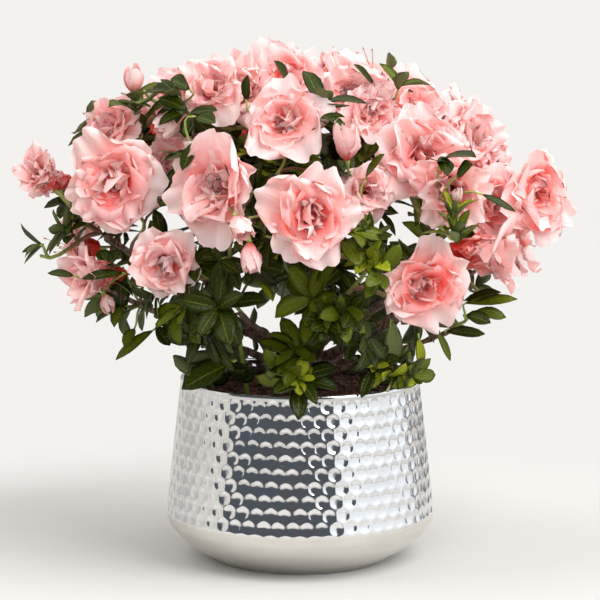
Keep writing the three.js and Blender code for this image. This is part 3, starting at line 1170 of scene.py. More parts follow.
SET_SPRAYS = (
    SetSpray("leaves_rim_front", (0.05, -0.35, -0.25), (8, 30), 8, 0.027, 0.22, LeafTint.MATURE, (55, 92)),
    SetSpray("leaves_rim_front", (0.05, -0.45, -0.20), (8, 30), 6, 0.014, 0.26, LeafTint.YOUNG, (30, 75)),
    SetSpray("leaves_rim_right", (-0.4, -0.35, 0.1), (18, 38), 7, 0.024, 0.22, LeafTint.MATURE, (50, 90)),
    SetSpray("leaves_rim_right", (-0.4, -0.45, 0.15), (18, 38), 4, 0.012, 0.22, LeafTint.YOUNG, (15, 60)),
    SetSpray("leaves_centre_right", (-0.1, -0.7, 0.75), (5, 32), 9, 0.020, 0.13, LeafTint.MATURE, (25, 85)),
    SetSpray("bud_shoot_left", (-0.1, -0.1, -0.9), (-20, 82), 8, 0.024, 0.20, LeafTint.MIDDLE, (45, 80)),
    SetSpray("leaves_left_low", (-0.45, -0.6, 0.7), (-42, 55), 7, 0.028, 0.13, LeafTint.MIDDLE, (35, 85)),
    SetSpray("leaf_tip_left", (0.4, 0.0, 0.3), (-84, -8), 4, 0.022, 0.13, LeafTint.MATURE, (10, 50)),
    SetSpray("blooms_right_front", (0.25, -1.0, -0.75), (8, 82), 8, 0.024, 0.13, LeafTint.MIDDLE, (18, 60)),
    SetSpray("blooms_right_front", (0.2, -1.0, -0.25), (8, 82), 7, 0.018, 0.13, LeafTint.YOUNG, (18, 60)),
    SetSpray("leaves_front_left", (-0.55, -0.1, 0.85), (-20, 35), 8, 0.024, 0.20, LeafTint.MATURE, (40, 90)),
    SetSpray("leaves_front_left", (0.55, -0.1, 0.85), (10, 30), 7, 0.024, 0.20, LeafTint.MATURE, (40, 90)),
    SetSpray("leaves_side_tip_1", (-0.9, 0.6, 0.1), (125, 30), 7, 0.020, 0.20, LeafTint.MATURE),
)


@dataclass(frozen=True)
class SetLeaf:
    """One listed leaf: its mass and place there, where it points, its size and tint."""

    mass: str
    place: tuple
    pointing: tuple
    length: float
    slim: float
    tint: LeafTint
    curl: float = 0.3


SET_LEAVES = (
    SetLeaf("leaves_rim_left", (0.7, -0.9, 0.3), (-80, -22), 0.040, 0.24, LeafTint.MATURE),
    SetLeaf("leaves_rim_front", (-0.05, -0.3, -0.75), (0, -62), 0.015, 0.30, LeafTint.MATURE, 0.8),
    SetLeaf("leaves_left_low", (0.32, -0.42, 0.39), (62, -31), 0.038, 0.22, LeafTint.MATURE),
    SetLeaf("leaves_left_low", (0.21, -0.42, -0.18), (-75, -32), 0.033, 0.13, LeafTint.MIDDLE),
    SetLeaf("leaves_left_low", (0.30, -0.50, -0.05), (60, -45), 0.016, 0.34, LeafTint.MATURE),
    SetLeaf("leaves_left_low", (-0.48, -0.60, 1.8), (-10, -80), 0.028, 0.20, LeafTint.MATURE),
    SetLeaf("leaves_left_low", (-0.2, -0.50, -0.1), (-40, -40), 0.015, 0.26, LeafTint.MIDDLE),
    SetLeaf("blooms_low_far_left", (-0.43, -0.3, 0.13), (-85, 12), 0.018, 0.18, LeafTint.MATURE),
    SetLeaf("blooms_low_far_left", (1.05, -0.6, 0.25), (-80, -5), 0.028, 0.14, LeafTint.MATURE, 0.1),
    SetLeaf("leaves_right_tip", (-2.29, -0.3, 0.0), (20, -84), 0.033, 0.20, LeafTint.UNDER, 0.2),
    SetLeaf("leaves_right_tip", (-1.59, -0.1, -0.74), (40, -78), 0.020, 0.16, LeafTint.YOUNG, 0.3),
    SetLeaf("leaves_right_tip", (-1.13, 0.0, -0.45), (80, -58), 0.024, 0.11, LeafTint.MIDDLE, 0.4),
    SetLeaf("leaves_right_tip", (-0.86, 0.0, -0.49), (88, -2), 0.027, 0.15, LeafTint.MATURE, 0.1),
    SetLeaf("leaves_right_tip", (-0.36, 0.0, 0.63), (85, 8), 0.036, 0.11, LeafTint.MIDDLE, 0.15),
    SetLeaf("leaves_right_tip", (-0.36, 0.2, 0.70), (75, 18), 0.026, 0.17, LeafTint.MATURE, 0.15),
    SetLeaf("leaves_right_tip", (-0.36, -0.4, 0.25), (70, -10), 0.018, 0.30, LeafTint.MATURE, 0.3),
    SetLeaf("leaves_right_tip", (-0.10, 0.1, 0.30), (88, -8), 0.022, 0.20, LeafTint.MIDDLE, 0.2),
    SetLeaf("blooms_crown_top", (0.11, -1.08, -0.11), (-40, 50), 0.023, 0.24, LeafTint.MATURE, 0.1),
    SetLeaf("blooms_top_right", (0.2, -0.9, 0.09), (-50, 42), 0.023, 0.15, LeafTint.MATURE, 0.1),
    SetLeaf("blooms_front_upper", (1.43, -0.5, -0.91), (40, 45), 0.025, 0.20, LeafTint.MIDDLE, 0.1),
    SetLeaf("blooms_right_front", (0.24, -1.0, 0.5), (45, 35), 0.016, 0.38, LeafTint.MATURE, 0.1),
    SetLeaf("blooms_right_front", (0.8, -0.6, 0.06), (80, -25), 0.025, 0.11, LeafTint.MATURE, 0.1),
    SetLeaf("blooms_front_left", (-0.3, 0.2, 1.15), (60, -10), 0.016, 0.38, LeafTint.MATURE, 0.1),
    SetLeaf("blooms_front_left", (-0.3, 0.2, 0.78), (-40, -50), 0.022, 0.20, LeafTint.MATURE, 0.2),
    SetLeaf("blooms_top_left", (-0.13, -1.02, 0.15), (-60, 30), 0.016, 0.32, LeafTint.MATURE, 0.1),
    SetLeaf("blooms_top_left", (1.07, -1.0, -0.1), (10, 70), 0.018, 0.22, LeafTint.MATURE, 0.1),
)


TINT_SHARES = {LeafTint.MATURE: 0.62, LeafTint.MIDDLE: 0.32, LeafTint.YOUNG: 0.06}

# Leafy shoots in a mass, by the first words of its name that fit.
SHOOT_COUNTS = {
    "leaves_heart": 32,
    "leaves_centre": 2,
    "leaves_front": 5,
    "leaves_side_tip_1": 0,
    "leaves_side_tip_2": 1,
    "leaves_right_tip": 0,
    "leaves_left_low": 1,
    "leaf_tip": 0,
    "bud": 0,
    "blooms_far": 0,
    "blooms_low": 2,
    "blooms": 3,
}


@dataclass
class Mass:
    """A mass of the crown, as the box of its CAD solid."""

    name: str
    centre: np.ndarray
    half: np.ndarray

    def at(self, place: Any) -> np.ndarray:
        """Returns a place in the mass given in half-sizes."""
        return self.centre + self.half * np.asarray(place)

    def flowers(self) -> bool:
        """Tells whether the mass is one that flowers."""
        return self.name.startswith(("blooms", "bud"))


@dataclass
class Crown:
    """Grows shoots, leaves and blooms through the masses by a seeded branching rule."""

    heart: np.ndarray = field(default_factory=lambda: np.array([0.0, 0.0, 0.215]))
    masses: dict = field(default_factory=dict)
    anchors: list = field(default_factory=list)
    wood: Sheaf = field(default_factory=Sheaf)
    green: Sheaf = field(default_factory=Sheaf)
    leaves: list = field(default_factory=list)
    blooms: list = field(default_factory=list)
    florist: Florist = field(default_factory=Florist)
    limb_tip: float = 0.0012
    flowering_limb: float = 0.0021
    leafy_limb: float = 0.0018
    shoot_radii: tuple = (0.0013, 0.0010)
    twig_radii: tuple = (0.0011, 0.0008)
    stalk_radii: tuple = (0.0010, 0.0007)
    leaf_gap: float = 0.0038
    flower_leaf_gap: float = 0.0050
    leaf_lengths: tuple = (0.019, 0.031)
    bloom_sizes: tuple = (0.054, 0.070)
    wide_share: float = 0.45
    margin: float = 0.006
    by_hand: int = 0

    def read(self) -> None:
        """Reads the masses' boxes and the limbs' centre lines from the frame."""
        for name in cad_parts:
            if name.startswith(("blooms_", "leaves_", "leaf_", "bud_")):
                low, high = (np.array(corner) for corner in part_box(name))
                self.masses[name] = Mass(name, (low + high) / 2, (high - low) / 2)
            if name.startswith("bough_"):
                self.anchors.extend(self.centre_line(name))

    @staticmethod
    def centre_line(name: str) -> list:
        """Reads a limb's centre line.

        Args:
            name: The limb's node.

        Returns:
            Pairs of a point and the direction of growth there, without the limb's first third.
        """
        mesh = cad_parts[name].data
        points = np.array([v.co[:] for v in mesh.vertices])
        stem = np.array([(a + b) / 2 for a, b in zip(*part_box("main_stem"))])
        away = np.linalg.norm(points - stem, axis=1)
        start, end = points[np.argmin(away)], points[np.argmax(away)]
        axis = unit(end - start)
        reach = (points - start) @ axis
        bins = np.digitize(reach, np.linspace(reach.min(), reach.max() + 1e-6, 7))
        line = np.array([points[bins == b].mean(axis=0) for b in range(1, 7) if (bins == b).any()])
        ahead = unit(np.gradient(line, axis=0))
        return list(zip(line[2:], ahead[2:]))

    def nearest(self, target: np.ndarray) -> tuple:
        """Picks the limb point that a shoot to a target leaves from.

        Args:
            target: Where the shoot goes.

        Returns:
            The point and its direction of growth.
        """
        points = np.array([a[0] for a in self.anchors])
        ahead = np.array([a[1] for a in self.anchors])
        gap = target - points
        far = np.linalg.norm(gap, axis=1)
        bend = 1 - np.sum(unit(gap) * ahead, axis=1)
        inner = np.linalg.norm(points - self.heart, axis=1) > np.linalg.norm(target - self.heart) + 0.01
        best = int(np.argmin(far * (1 + 0.45 * bend) + 0.05 * inner + 0.02 * (far < 0.008)))
        return self.anchors[best]

    def branch(self, target: np.ndarray, arrive: np.ndarray, radii: tuple, sheaf: Sheaf,
               sides: int) -> np.ndarray:
        """Grows a branch from the nearest limb to a target.

        Args:
            target: Where its tip goes.
            arrive: The direction in which it arrives.
            radii: Its radius at the start and at the tip.
            sheaf: Where it goes.
            sides: How many sides it has.

        Returns:
            Its centre line.
        """
        start, ahead = self.nearest(target)
        far = float(np.linalg.norm(target - start))
        t = np.linspace(0, 1, max(5, int(far / 0.007)) + 1)[:, None]
        out = start + unit(ahead + 0.8 * unit(target - start)) * far * 0.36
        back = target - arrive * far * 0.34
        path = start * (1 - t) ** 3 + out * 3 * t * (1 - t) ** 2 + back * 3 * t**2 * (1 - t) + target * t**3
        add_tube(sheaf, path, np.linspace(*radii, len(path)), sides, (0, 0))
        return path

    def limbs(self) -> None:
        """Grows one lesser bough to each mass, the nearest masses first."""
        order = sorted(self.masses.values(), key=lambda m: float(np.linalg.norm(m.centre - self.heart)))
        for mass in order:
            outward = unit(mass.centre - self.heart + UP * 0.02)
            inside = mass.at((0, 0, -0.2)) - outward * float(mass.half.mean()) * 0.45
            thick = self.flowering_limb if mass.flowers() else self.leafy_limb
            path = self.branch(inside, unit(outward + UP * 0.5), (thick, self.limb_tip), self.wood, 6)
            ahead = unit(np.gradient(path, axis=0))
            self.anchors.extend(zip(path[2:], ahead[2:]))

    def clear_of_blooms(self, points: np.ndarray, slack: float = 1.0) -> np.ndarray:
        """Tells which points don't stand in or in front of an open bloom.

        Args:
            points: The points, n by 3.
            slack: How much of each bloom's own room counts.

        Returns:
            A truth value for each point.
        """
        ok = np.ones(len(points), dtype=bool)
        for bloom in self.blooms:
            if not bloom.is_open():
                continue
            middle = bloom.centre + bloom.facing * bloom.diameter * 0.12
            ok &= np.linalg.norm(points - middle, axis=1) > bloom.diameter * 0.46 * slack
        return ok

    def whorl(self, tip: np.ndarray, ahead: np.ndarray, count: int, size: float, tilt: tuple, tint: LeafTint,
              rng: np.random.Generator, slim: float = 0.21) -> None:
        """Sets a ring of leaves at a shoot's tip.

        Args:
            tip: The shoot's tip.
            ahead: The shoot's direction.
            count: How many leaves.
            size: Their length.
            tilt: The least and greatest angle from the shoot, in degrees.
            tint: Their tint.
            rng: The random source.
            slim: Half their width over their length.
        """
        side = across(ahead, rng.normal(0, 1, 3))
        other = np.cross(ahead, side)
        start = rng.uniform(0, 6)
        for number in range(count):
            bearing = start + GOLDEN_ANGLE * number
            out = side * math.cos(bearing) + other * math.sin(bearing)
            angle = math.radians(rng.uniform(*tilt))
            point = ahead * math.cos(angle) + out * math.sin(angle)
            face = unit(ahead * math.sin(angle) - out * math.cos(angle) + UP * 0.35)
            length = size * rng.uniform(0.72, 1.12)
            foot = tip - ahead * 0.0011 * number
            self.leaves.append(Leaf(foot, unit(point), face, length, length * slim * rng.uniform(0.88, 1.2),
                                    rng.uniform(0.1, 0.75), rng.uniform(0.15, 0.55), tint))

    def dress(self, path: np.ndarray, first: float, spacing: float, size: float, tint: LeafTint,
              rng: np.random.Generator) -> None:
        """Sets leaves up a shoot, each turned from the last by the golden angle.

        Args:
            path: The shoot's centre line.
            first: Where the leaves start, as a fraction of the shoot.
            spacing: Along the shoot from leaf to leaf.
            size: The leaves' length.
            tint: Their tint.
            rng: The random source.
        """
        ahead = unit(np.gradient(path, axis=0))
        length = float(np.linalg.norm(np.diff(path, axis=0), axis=1).sum())
        count = max(1, int(length * (1 - first) / spacing))
        side = across(ahead[-1], rng.normal(0, 1, 3))
        for number in range(count):
            t = (first + (1 - first) * (number + 0.5) / count) * (len(path) - 1)
            low = min(int(t), len(path) - 2)
            foot = path[low] + (path[low + 1] - path[low]) * (t - low)
            along = ahead[low]
            side = across(along, side)
            bearing = number * GOLDEN_ANGLE
            out = side * math.cos(bearing) + np.cross(along, side) * math.sin(bearing)
            angle = math.radians(rng.uniform(48, 84))
            point = along * math.cos(angle) + out * math.sin(angle) - UP * rng.uniform(0.0, 0.25)
            face = unit(along * math.sin(angle) - out * math.cos(angle) + UP * 0.8)
            long = size * rng.uniform(0.75, 1.15)
            self.leaves.append(Leaf(foot, unit(point), face, long, long * rng.uniform(0.17, 0.25),
                                    rng.uniform(0.1, 0.9), rng.uniform(0.1, 0.5), tint))

    def set_blooms(self) -> None:
        """Places the listed blooms, then the rest by rule."""
        for key, spec in enumerate(SET_BLOOMS):
            centre = self.masses[spec.mass].at(spec.place)
            facing = heading(*spec.facing)
            bloom = Bloom(centre, facing, spec.diameter, spec.stage, spec.tint, key)
            self.blooms.append(self.florist.shape(bloom))
        taken = {spec.mass for spec in SET_BLOOMS}
        key = 100
        for mass in (m for m in self.masses.values() if m.flowers()):
            rng = seeded(3, key)
            if mass.name in taken:
                key += 10
                continue
            outward = unit(mass.centre - self.heart)
            spots = self.spots(outward, rng)
            for spot in spots:
                centre = mass.centre + spot * mass.half * 0.62 + outward * 0.004
                facing = unit(outward + spot * 0.55 + UP * 0.1 + rng.normal(0, 0.12, 3))
                stage = Stage.WIDE if rng.random() < self.wide_share else Stage.HALF
                size = rng.uniform(*self.bloom_sizes)
                bloom = Bloom(centre, facing, size, stage, int(rng.integers(0, 4)), key)
                self.blooms.append(self.florist.shape(bloom))
                key += 1
            key += 10 - len(spots)

    @staticmethod
    def spots(outward: np.ndarray, rng: np.random.Generator) -> list:
        """Picks two or three places round a mass's outer face.

        Args:
            outward: The way the mass faces.
            rng: The random source.

        Returns:
            The places, in half-sizes.
        """
        side = across(outward, UP)
        other = np.cross(outward, side)
        start = rng.uniform(0, 6)
        count = int(rng.integers(2, 4))
        turns = [start + 2 * math.pi * n / count for n in range(count)]
        return [side * math.cos(t) + other * math.sin(t) + outward * 0.3 for t in turns]

    def set_leaves(self) -> None:
        """Grows the listed sprays and single leaves."""
        for number, spec in enumerate(SET_SPRAYS):
            rng = seeded(13, number)
            tip, ahead = self.masses[spec.mass].at(spec.place), heading(*spec.facing)
            self.branch(tip, ahead, self.shoot_radii, self.green, 6)
            self.whorl(tip, ahead, spec.count, spec.length, spec.tilt, spec.tint, rng, spec.slim)
        for number, spec in enumerate(SET_LEAVES):
            foot, ahead = self.masses[spec.mass].at(spec.place), heading(*spec.pointing)
            self.branch(foot, ahead, self.stalk_radii, self.green, 5)
            face = unit(heading(spec.pointing[0], spec.pointing[1] + 90) * 0.5 + heading(0, 25))
            width = spec.length * spec.slim
            self.leaves.append(Leaf(foot, ahead, face, spec.length, width, spec.curl, 0.3, spec.tint))
        self.by_hand = len(self.leaves)

    def flower_shoots(self) -> None:
        """Grows a leafy shoot to each bloom's stalk."""
        for bloom in self.blooms:
            rng = seeded(4, bloom.key)
            start = self.florist.stalk(bloom, self.green)
            path = self.branch(start, unit(bloom.facing + UP * 0.25), self.shoot_radii, self.wood, 5)
            tint = LeafTint.MIDDLE if rng.random() < 0.4 else LeafTint.MATURE
            size = 0.014 + 0.012 * min(1.0, bloom.diameter / 0.06)
            tilt = (62, 104) if bloom.is_open() else (40, 80)
            self.whorl(start, bloom.facing, 6, size, tilt, tint, rng, 0.23)
            self.dress(path, 0.45, self.flower_leaf_gap, size, tint, rng)

    @staticmethod
    def shoots_in(mass: Mass) -> int:
        """Counts a mass's leafy shoots, some masses by name and the rest by size.

        Args:
            mass: The mass.

        Returns:
            How many it has.
        """
        for start, count in SHOOT_COUNTS.items():
            if mass.name.startswith(start):
                return count
        return max(3, int(6 * (float(np.prod(mass.half)) ** (1 / 3) / 0.028) ** 1.5))

    def leafy_shoots(self) -> None:
        """Grows leafy shoots all through the masses."""
        for index, mass in enumerate(self.masses.values()):
            rng = seeded(5, index)
            count = self.shoots_in(mass)
            outward = unit(mass.centre - self.heart + UP * 0.001)
            for _ in range(count):
                spot = unit(rng.normal(0, 1, 3) + outward * 0.7) * rng.uniform(0.55, 0.98)
                if mass.flowers():
                    spot = unit(rng.normal(0, 1, 3) - outward * 0.1) * rng.uniform(0.7, 1.05)
                tip = mass.at(spot)
                if not self.clear_of_blooms(tip[None], 0.9)[0]:
                    continue
                ahead = unit(outward * 0.6 + spot * 0.7 + UP * 0.35)
                path = self.branch(tip - ahead * 0.004, ahead, self.twig_radii, self.wood, 5)
                tint = rng.choice(list(TINT_SHARES), p=list(TINT_SHARES.values()))
                length = rng.uniform(*self.leaf_lengths)
                self.dress(path, 0.4, self.leaf_gap, length, tint, rng)
                self.whorl(tip, ahead, int(rng.integers(5, 8)), length, (32, 78), tint, rng)

    def prune(self) -> None:
        """Takes away leaves in a bloom, in the planter or outside the part's box, but none of the listed
        ones.
        """
        tips = np.array([leaf.foot + leaf.ahead * leaf.length for leaf in self.leaves])
        middles = np.array([leaf.foot + leaf.ahead * leaf.length * 0.55 for leaf in self.leaves])
        low, high = (np.array(corner) for corner in CAD_BOX)
        keep = self.clear_of_blooms(tips) & self.clear_of_blooms(middles)
        for points in (tips, middles):
            keep &= np.all((points > low - self.margin) & (points < high + self.margin), axis=1)
            keep &= ~self.inside_planter(points)
        keep[: self.by_hand] = True
        self.leaves = [leaf for leaf, wanted in zip(self.leaves, keep) if wanted]

    @staticmethod
    def inside_planter(points: np.ndarray) -> np.ndarray:
        """Tells which points are in the planter's wall or in the mix.

        Args:
            points: The points, n by 3.

        Returns:
            A truth value for each point.
        """
        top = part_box("planter")[1][2]
        mouth = top * 0.6  # a little less than the rim's inner radius
        away = np.linalg.norm(points[:, :2], axis=1)
        sunk = points[:, 2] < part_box("potting_mix")[1][2] + 0.003
        return sunk | ((points[:, 2] < top + 0.001) & (away > mouth))

    def pieces(self) -> list:
        """Makes the crown's pieces.

        Returns:
            The pieces.
        """
        made = []
        woody = Twig("twig_wood", (0.17, 0.080, 0.045), (0.28, 0.32, 0.070)).material()
        fresh = Twig("young_green", (0.20, 0.27, 0.055), (0.33, 0.40, 0.085)).material()
        skin = PetalSkin().material()
        flowering = [m.name for m in self.masses.values() if m.flowers()]
        leafy = [m.name for m in self.masses.values() if not m.flowers()]
        for number, group in enumerate(self.shared(self.blooms, 3), start=1):
            sheaf = Sheaf()
            for bloom in group:
                self.florist.lay(bloom, sheaf)
            piece = sheaf.piece(f"petals_{number}", skin)
            made.append(declare(piece, flowering if number == 1 else []))
        threads = Sheaf()
        for bloom in self.blooms:
            self.florist.threads(bloom, threads)
        made.append(declare(threads.piece("stamens", skin), []))
        leaf_skin = LeafSkin().material()
        for number, group in enumerate(self.shared(self.leaves, 2), start=1):
            sheaf = LeafForm().gather(group, seeded(6, number))
            piece = sheaf.piece(f"leaves_{number}", leaf_skin)
            made.append(declare(piece, leafy if number == 1 else []))
        made.append(declare(self.wood.piece("twigs", woody), []))
        made.append(declare(self.green.piece("bloom_stalks", fresh), []))
        return made

    @staticmethod
    def shared(things: list, parts: int) -> list:
        """Deals a list out into equal parts."""
        return [things[part::parts] for part in range(parts)]


def declare(piece: bpy.types.Object, nodes: list) -> bpy.types.Object:
    """Tells the frame what a piece is.

    Args:
        piece: The piece.
        nodes: The CAD nodes it stands for.

    Returns:
        The piece.
    """
    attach(piece, "root")
    if nodes:
        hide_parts(*nodes)
    triangles = sum(len(p.vertices) - 2 for p in piece.data.polygons)
    log.info("%s: %d triangles, stands for %d nodes", piece.name, triangles, len(nodes))
    return piece


# ------------ Planter and mix


def turned(name: str, stations: list, columns: int) -> bpy.types.Object:
    """Turns a closed solid up from stations, one extruded ring at a time.

    Args:
        name: The object's name.
        stations: Radius and height of each ring, round the section.
        columns: Points in a ring.

    Returns:
        The object, with both poles closed and its place in its mesh.
    """
    bpy.ops.object.select_all(action="DESELECT")
    radius, height = stations[0]
    bpy.ops.mesh.primitive_circle_add(vertices=columns, radius=radius, location=(0, 0, height))
    piece = bpy.context.object
    piece.name = piece.data.name = name
    bpy.ops.object.mode_set(mode="EDIT")
    bpy.ops.mesh.select_mode(type="EDGE")
    bpy.ops.mesh.select_all(action="SELECT")
    bpy.ops.mesh.extrude_region_move()
    bpy.ops.mesh.merge(type="CENTER")
    bpy.ops.mesh.select_all(action="SELECT")
    bpy.ops.object.mode_set(mode="OBJECT")
    rim = [e for e in piece.data.edges if all(v < columns for v in e.vertices)]
    pick_edges(piece, [e.index for e in rim])
    bpy.ops.object.mode_set(mode="EDIT")
    for (r0, z0), (r1, z1) in pairwise(stations):
        bpy.ops.mesh.extrude_region_move(TRANSFORM_OT_translate={"value": (0, 0, z1 - z0)})
        if abs(r1 - r0) > 1e-9:
            bpy.ops.transform.resize(value=(r1 / r0, r1 / r0, 1), center_override=(0, 0, 0))
    bpy.ops.mesh.extrude_region_move()
    bpy.ops.mesh.merge(type="CENTER")
    bpy.ops.object.mode_set(mode="OBJECT")
    bpy.ops.object.transform_apply(location=True, rotation=True, scale=True)
    return piece


def pick_edges(piece: bpy.types.Object, wanted: list) -> None:
    """Selects some of a mesh's edges and nothing else.

    Args:
        piece: The object.
        wanted: The edges' numbers.
    """
    mesh = piece.data
    mesh.vertices.foreach_set("select", np.zeros(len(mesh.vertices), dtype=bool))
    mesh.polygons.foreach_set("select", np.zeros(len(mesh.polygons), dtype=bool))
    chosen = np.zeros(len(mesh.edges), dtype=bool)
    chosen[wanted] = True
    mesh.edges.foreach_set("select", chosen)


def points_of(piece: bpy.types.Object) -> np.ndarray:
    """Reads a mesh's points.

    Args:
        piece: The object.

    Returns:
        The points, n by 3.
    """
    flat = np.empty(len(piece.data.vertices) * 3, dtype=np.float32)
    piece.data.vertices.foreach_get("co", flat)
    return flat.reshape(-1, 3).astype(float)


def move_points(piece: bpy.types.Object, points: np.ndarray) -> None:
    """Moves a mesh's points."""
    piece.data.vertices.foreach_set("co", points.astype(np.float32).ravel())
    piece.data.update()


def outward_and_smooth(piece: bpy.types.Object, degrees: float) -> None:
    """Turns a closed mesh's faces outwards and shades it smooth.

    Args:
        piece: The object.
        degrees: The angle past which an edge stays sharp.
    """
    bpy.ops.object.select_all(action="DESELECT")
    bpy.context.view_layer.objects.active = piece
    piece.select_set(True)
    bpy.ops.object.mode_set(mode="EDIT")
    bpy.ops.mesh.select_all(action="SELECT")
    bpy.ops.mesh.remove_doubles(threshold=1e-6)
    bpy.ops.mesh.normals_make_consistent(inside=False)
    bpy.ops.object.mode_set(mode="OBJECT")
    bpy.ops.object.shade_smooth_by_angle(angle=math.radians(degrees))


@dataclass
class Planter:
    """The hammered planter: a turned shell, plain at the rim and below, dimpled between."""

    height: float = 0.130
    rim_radius: float = 0.084
    widest_radius: float = 0.095
    widest_height: float = 0.036
    shoulder: tuple = (0.0935, 0.027)
    foot_radius: float = 0.061
    foot_rise: float = 0.0035
    foot_flare: float = 0.004
    belly: tuple = (0.022, 0.008)
    wall: float = 0.002
    floor: float = 0.005
    lip: float = 0.0008
    dimples: int = 58
    dimple_columns: int = 10
    dimple_rows: int = 10
    dimple_depth: float = 0.00062
    dimple_radius: tuple = (0.0046, 0.0041)
    flatness: tuple = (1.3, 2.6)
    unevenness: float = 0.22
    wander: float = 0.00028
    dimple_foot: float = 0.0345
    dimple_top: float = 0.1262
    bands: int = 100

    def bowl(self, inset: float, steps: int) -> list:
        """Draws the curve under the wall, from the foot to the shoulder.

        Args:
            inset: How far it is moved inwards and up.
            steps: How many steps it has.

        Returns:
            Radius and height of each ring.
        """
        start = np.array([self.foot_radius + self.foot_flare, self.foot_rise])
        aim = np.array([self.foot_radius + self.belly[0], self.foot_rise + self.belly[1]])
        line = arc(start, aim, np.array(self.shoulder), steps)
        return [(r - inset, z + inset) for r, z in line]

    def wall_radius(self, height: np.ndarray) -> np.ndarray:
        """Returns the outer wall's radius above the widest ring."""
        up = (height - self.widest_height) / (self.height - self.widest_height)
        return self.widest_radius + (self.rim_radius - self.widest_radius) * up

    def stations(self) -> list:
        """Draws the section, up the outside, over the rim and down the inside.

        Returns:
            Radius and height of each ring.
        """
        foot, top, lip = self.foot_radius, self.height, self.lip
        inner = self.rim_radius - self.wall
        r_top = float(self.wall_radius(self.dimple_top))
        outside = [(foot * 0.5, 0.0), (foot - 0.001, 0.0), (foot, 0.0003), *self.bowl(0.0, 14)]
        outside += [(self.widest_radius - 0.0004, 0.0315), (self.widest_radius, self.dimple_foot)]
        outside += [(r_top, self.dimple_top), (r_top + 0.0001, top - 0.0026)]
        over = [(self.rim_radius + 0.0006, top - lip), (self.rim_radius + 0.0001, top - 0.0002)]
        over += [(self.rim_radius - 0.001, top), (inner + 0.0003, top - 0.0002), (inner, top - lip)]
        down = [(inner + 0.0002, top - 0.0028)]
        steps = np.linspace(self.dimple_top, 0.114, 12)
        down += [(float(self.wall_radius(z)) - self.wall, float(z)) for z in steps]
        down += [(self.widest_radius - self.wall, self.widest_height)]
        down += self.bowl(self.wall, 6)[::-1]
        return outside + over + down + [(foot - self.wall, self.floor), (foot * 0.4, self.floor)]

    def cut_bands(self, piece: bpy.types.Object) -> None:
        """Divides the tall dimpled wall into fine bands.

        Args:
            piece: The turned shell.
        """
        points = points_of(piece)
        ends = np.array([e.vertices[:] for e in piece.data.edges])
        z = points[ends][..., 2]
        away = np.linalg.norm(points[ends][..., :2], axis=2).min(axis=1)
        tall = (z.min(axis=1) < self.dimple_foot + 1e-4) & (z.max(axis=1) > self.dimple_top - 1e-4)
        outer = away > self.rim_radius - 0.0005
        pick_edges(piece, np.flatnonzero(tall & outer).tolist())
        bpy.ops.object.mode_set(mode="EDIT")
        bpy.ops.mesh.subdivide(number_cuts=self.bands - 1)
        bpy.ops.object.mode_set(mode="OBJECT")

    def hammer(self, piece: bpy.types.Object) -> None:
        """Presses the staggered dimples into the wall, outside and inside alike.

        Args:
            piece: The turned shell.
        """
        rng = seeded(14)
        deep = 1 + rng.normal(0, self.unevenness, (self.dimple_rows, self.dimples))
        aside = rng.normal(0, self.wander, (2, self.dimple_rows, self.dimples))
        points = points_of(piece)
        away = np.linalg.norm(points[:, :2], axis=1)
        turn = np.arctan2(points[:, 1], points[:, 0]) / (2 * math.pi) * self.dimples
        pitch = (self.dimple_top - self.dimple_foot) / self.dimple_rows
        level = (points[:, 2] - self.dimple_foot) / pitch - 0.5
        width = 2 * math.pi * self.wall_radius(points[:, 2]) / self.dimples
        press = np.zeros(len(points))
        for row in (np.floor(level), np.floor(level) + 1):
            inside = (row >= 0) & (row < self.dimple_rows)
            line = np.clip(row, 0, self.dimple_rows - 1).astype(int)
            shift = turn - 0.5 * (row % 2)
            which = np.round(shift).astype(int) % self.dimples
            gap = (shift - np.round(shift)) * width - aside[0, line, which]
            drop = (level - row) * pitch - aside[1, line, which]
            low, high = self.dimple_radius
            climb = line / (self.dimple_rows - 1)
            size = low + (high - low) * climb
            flat = self.flatness[0] + (self.flatness[1] - self.flatness[0]) * climb
            bowl = np.clip(1 - ((gap**2 + drop**2) / size**2) ** flat, 0, 1)
            press = np.maximum(press, bowl * self.dimple_depth * deep[line, which] * inside)
        walls = (points[:, 2] > self.dimple_foot - 0.001) & (points[:, 2] < self.dimple_top + 0.001)
        walls &= away > self.rim_radius - self.wall - 0.001
        points[:, :2] *= (1 - press * walls / np.maximum(away, 1e-6))[:, None]
        move_points(piece, points)

    def build(self) -> list:
        """Makes the planter.

        Returns:
            The piece.
        """
        piece = turned("planter_shell", self.stations(), self.dimples * self.dimple_columns)
        self.cut_bands(piece)
        self.hammer(piece)
        outward_and_smooth(piece, 50)
        piece.data.materials.append(HammeredMetal().material())
        return [declare(piece, ["planter"])]


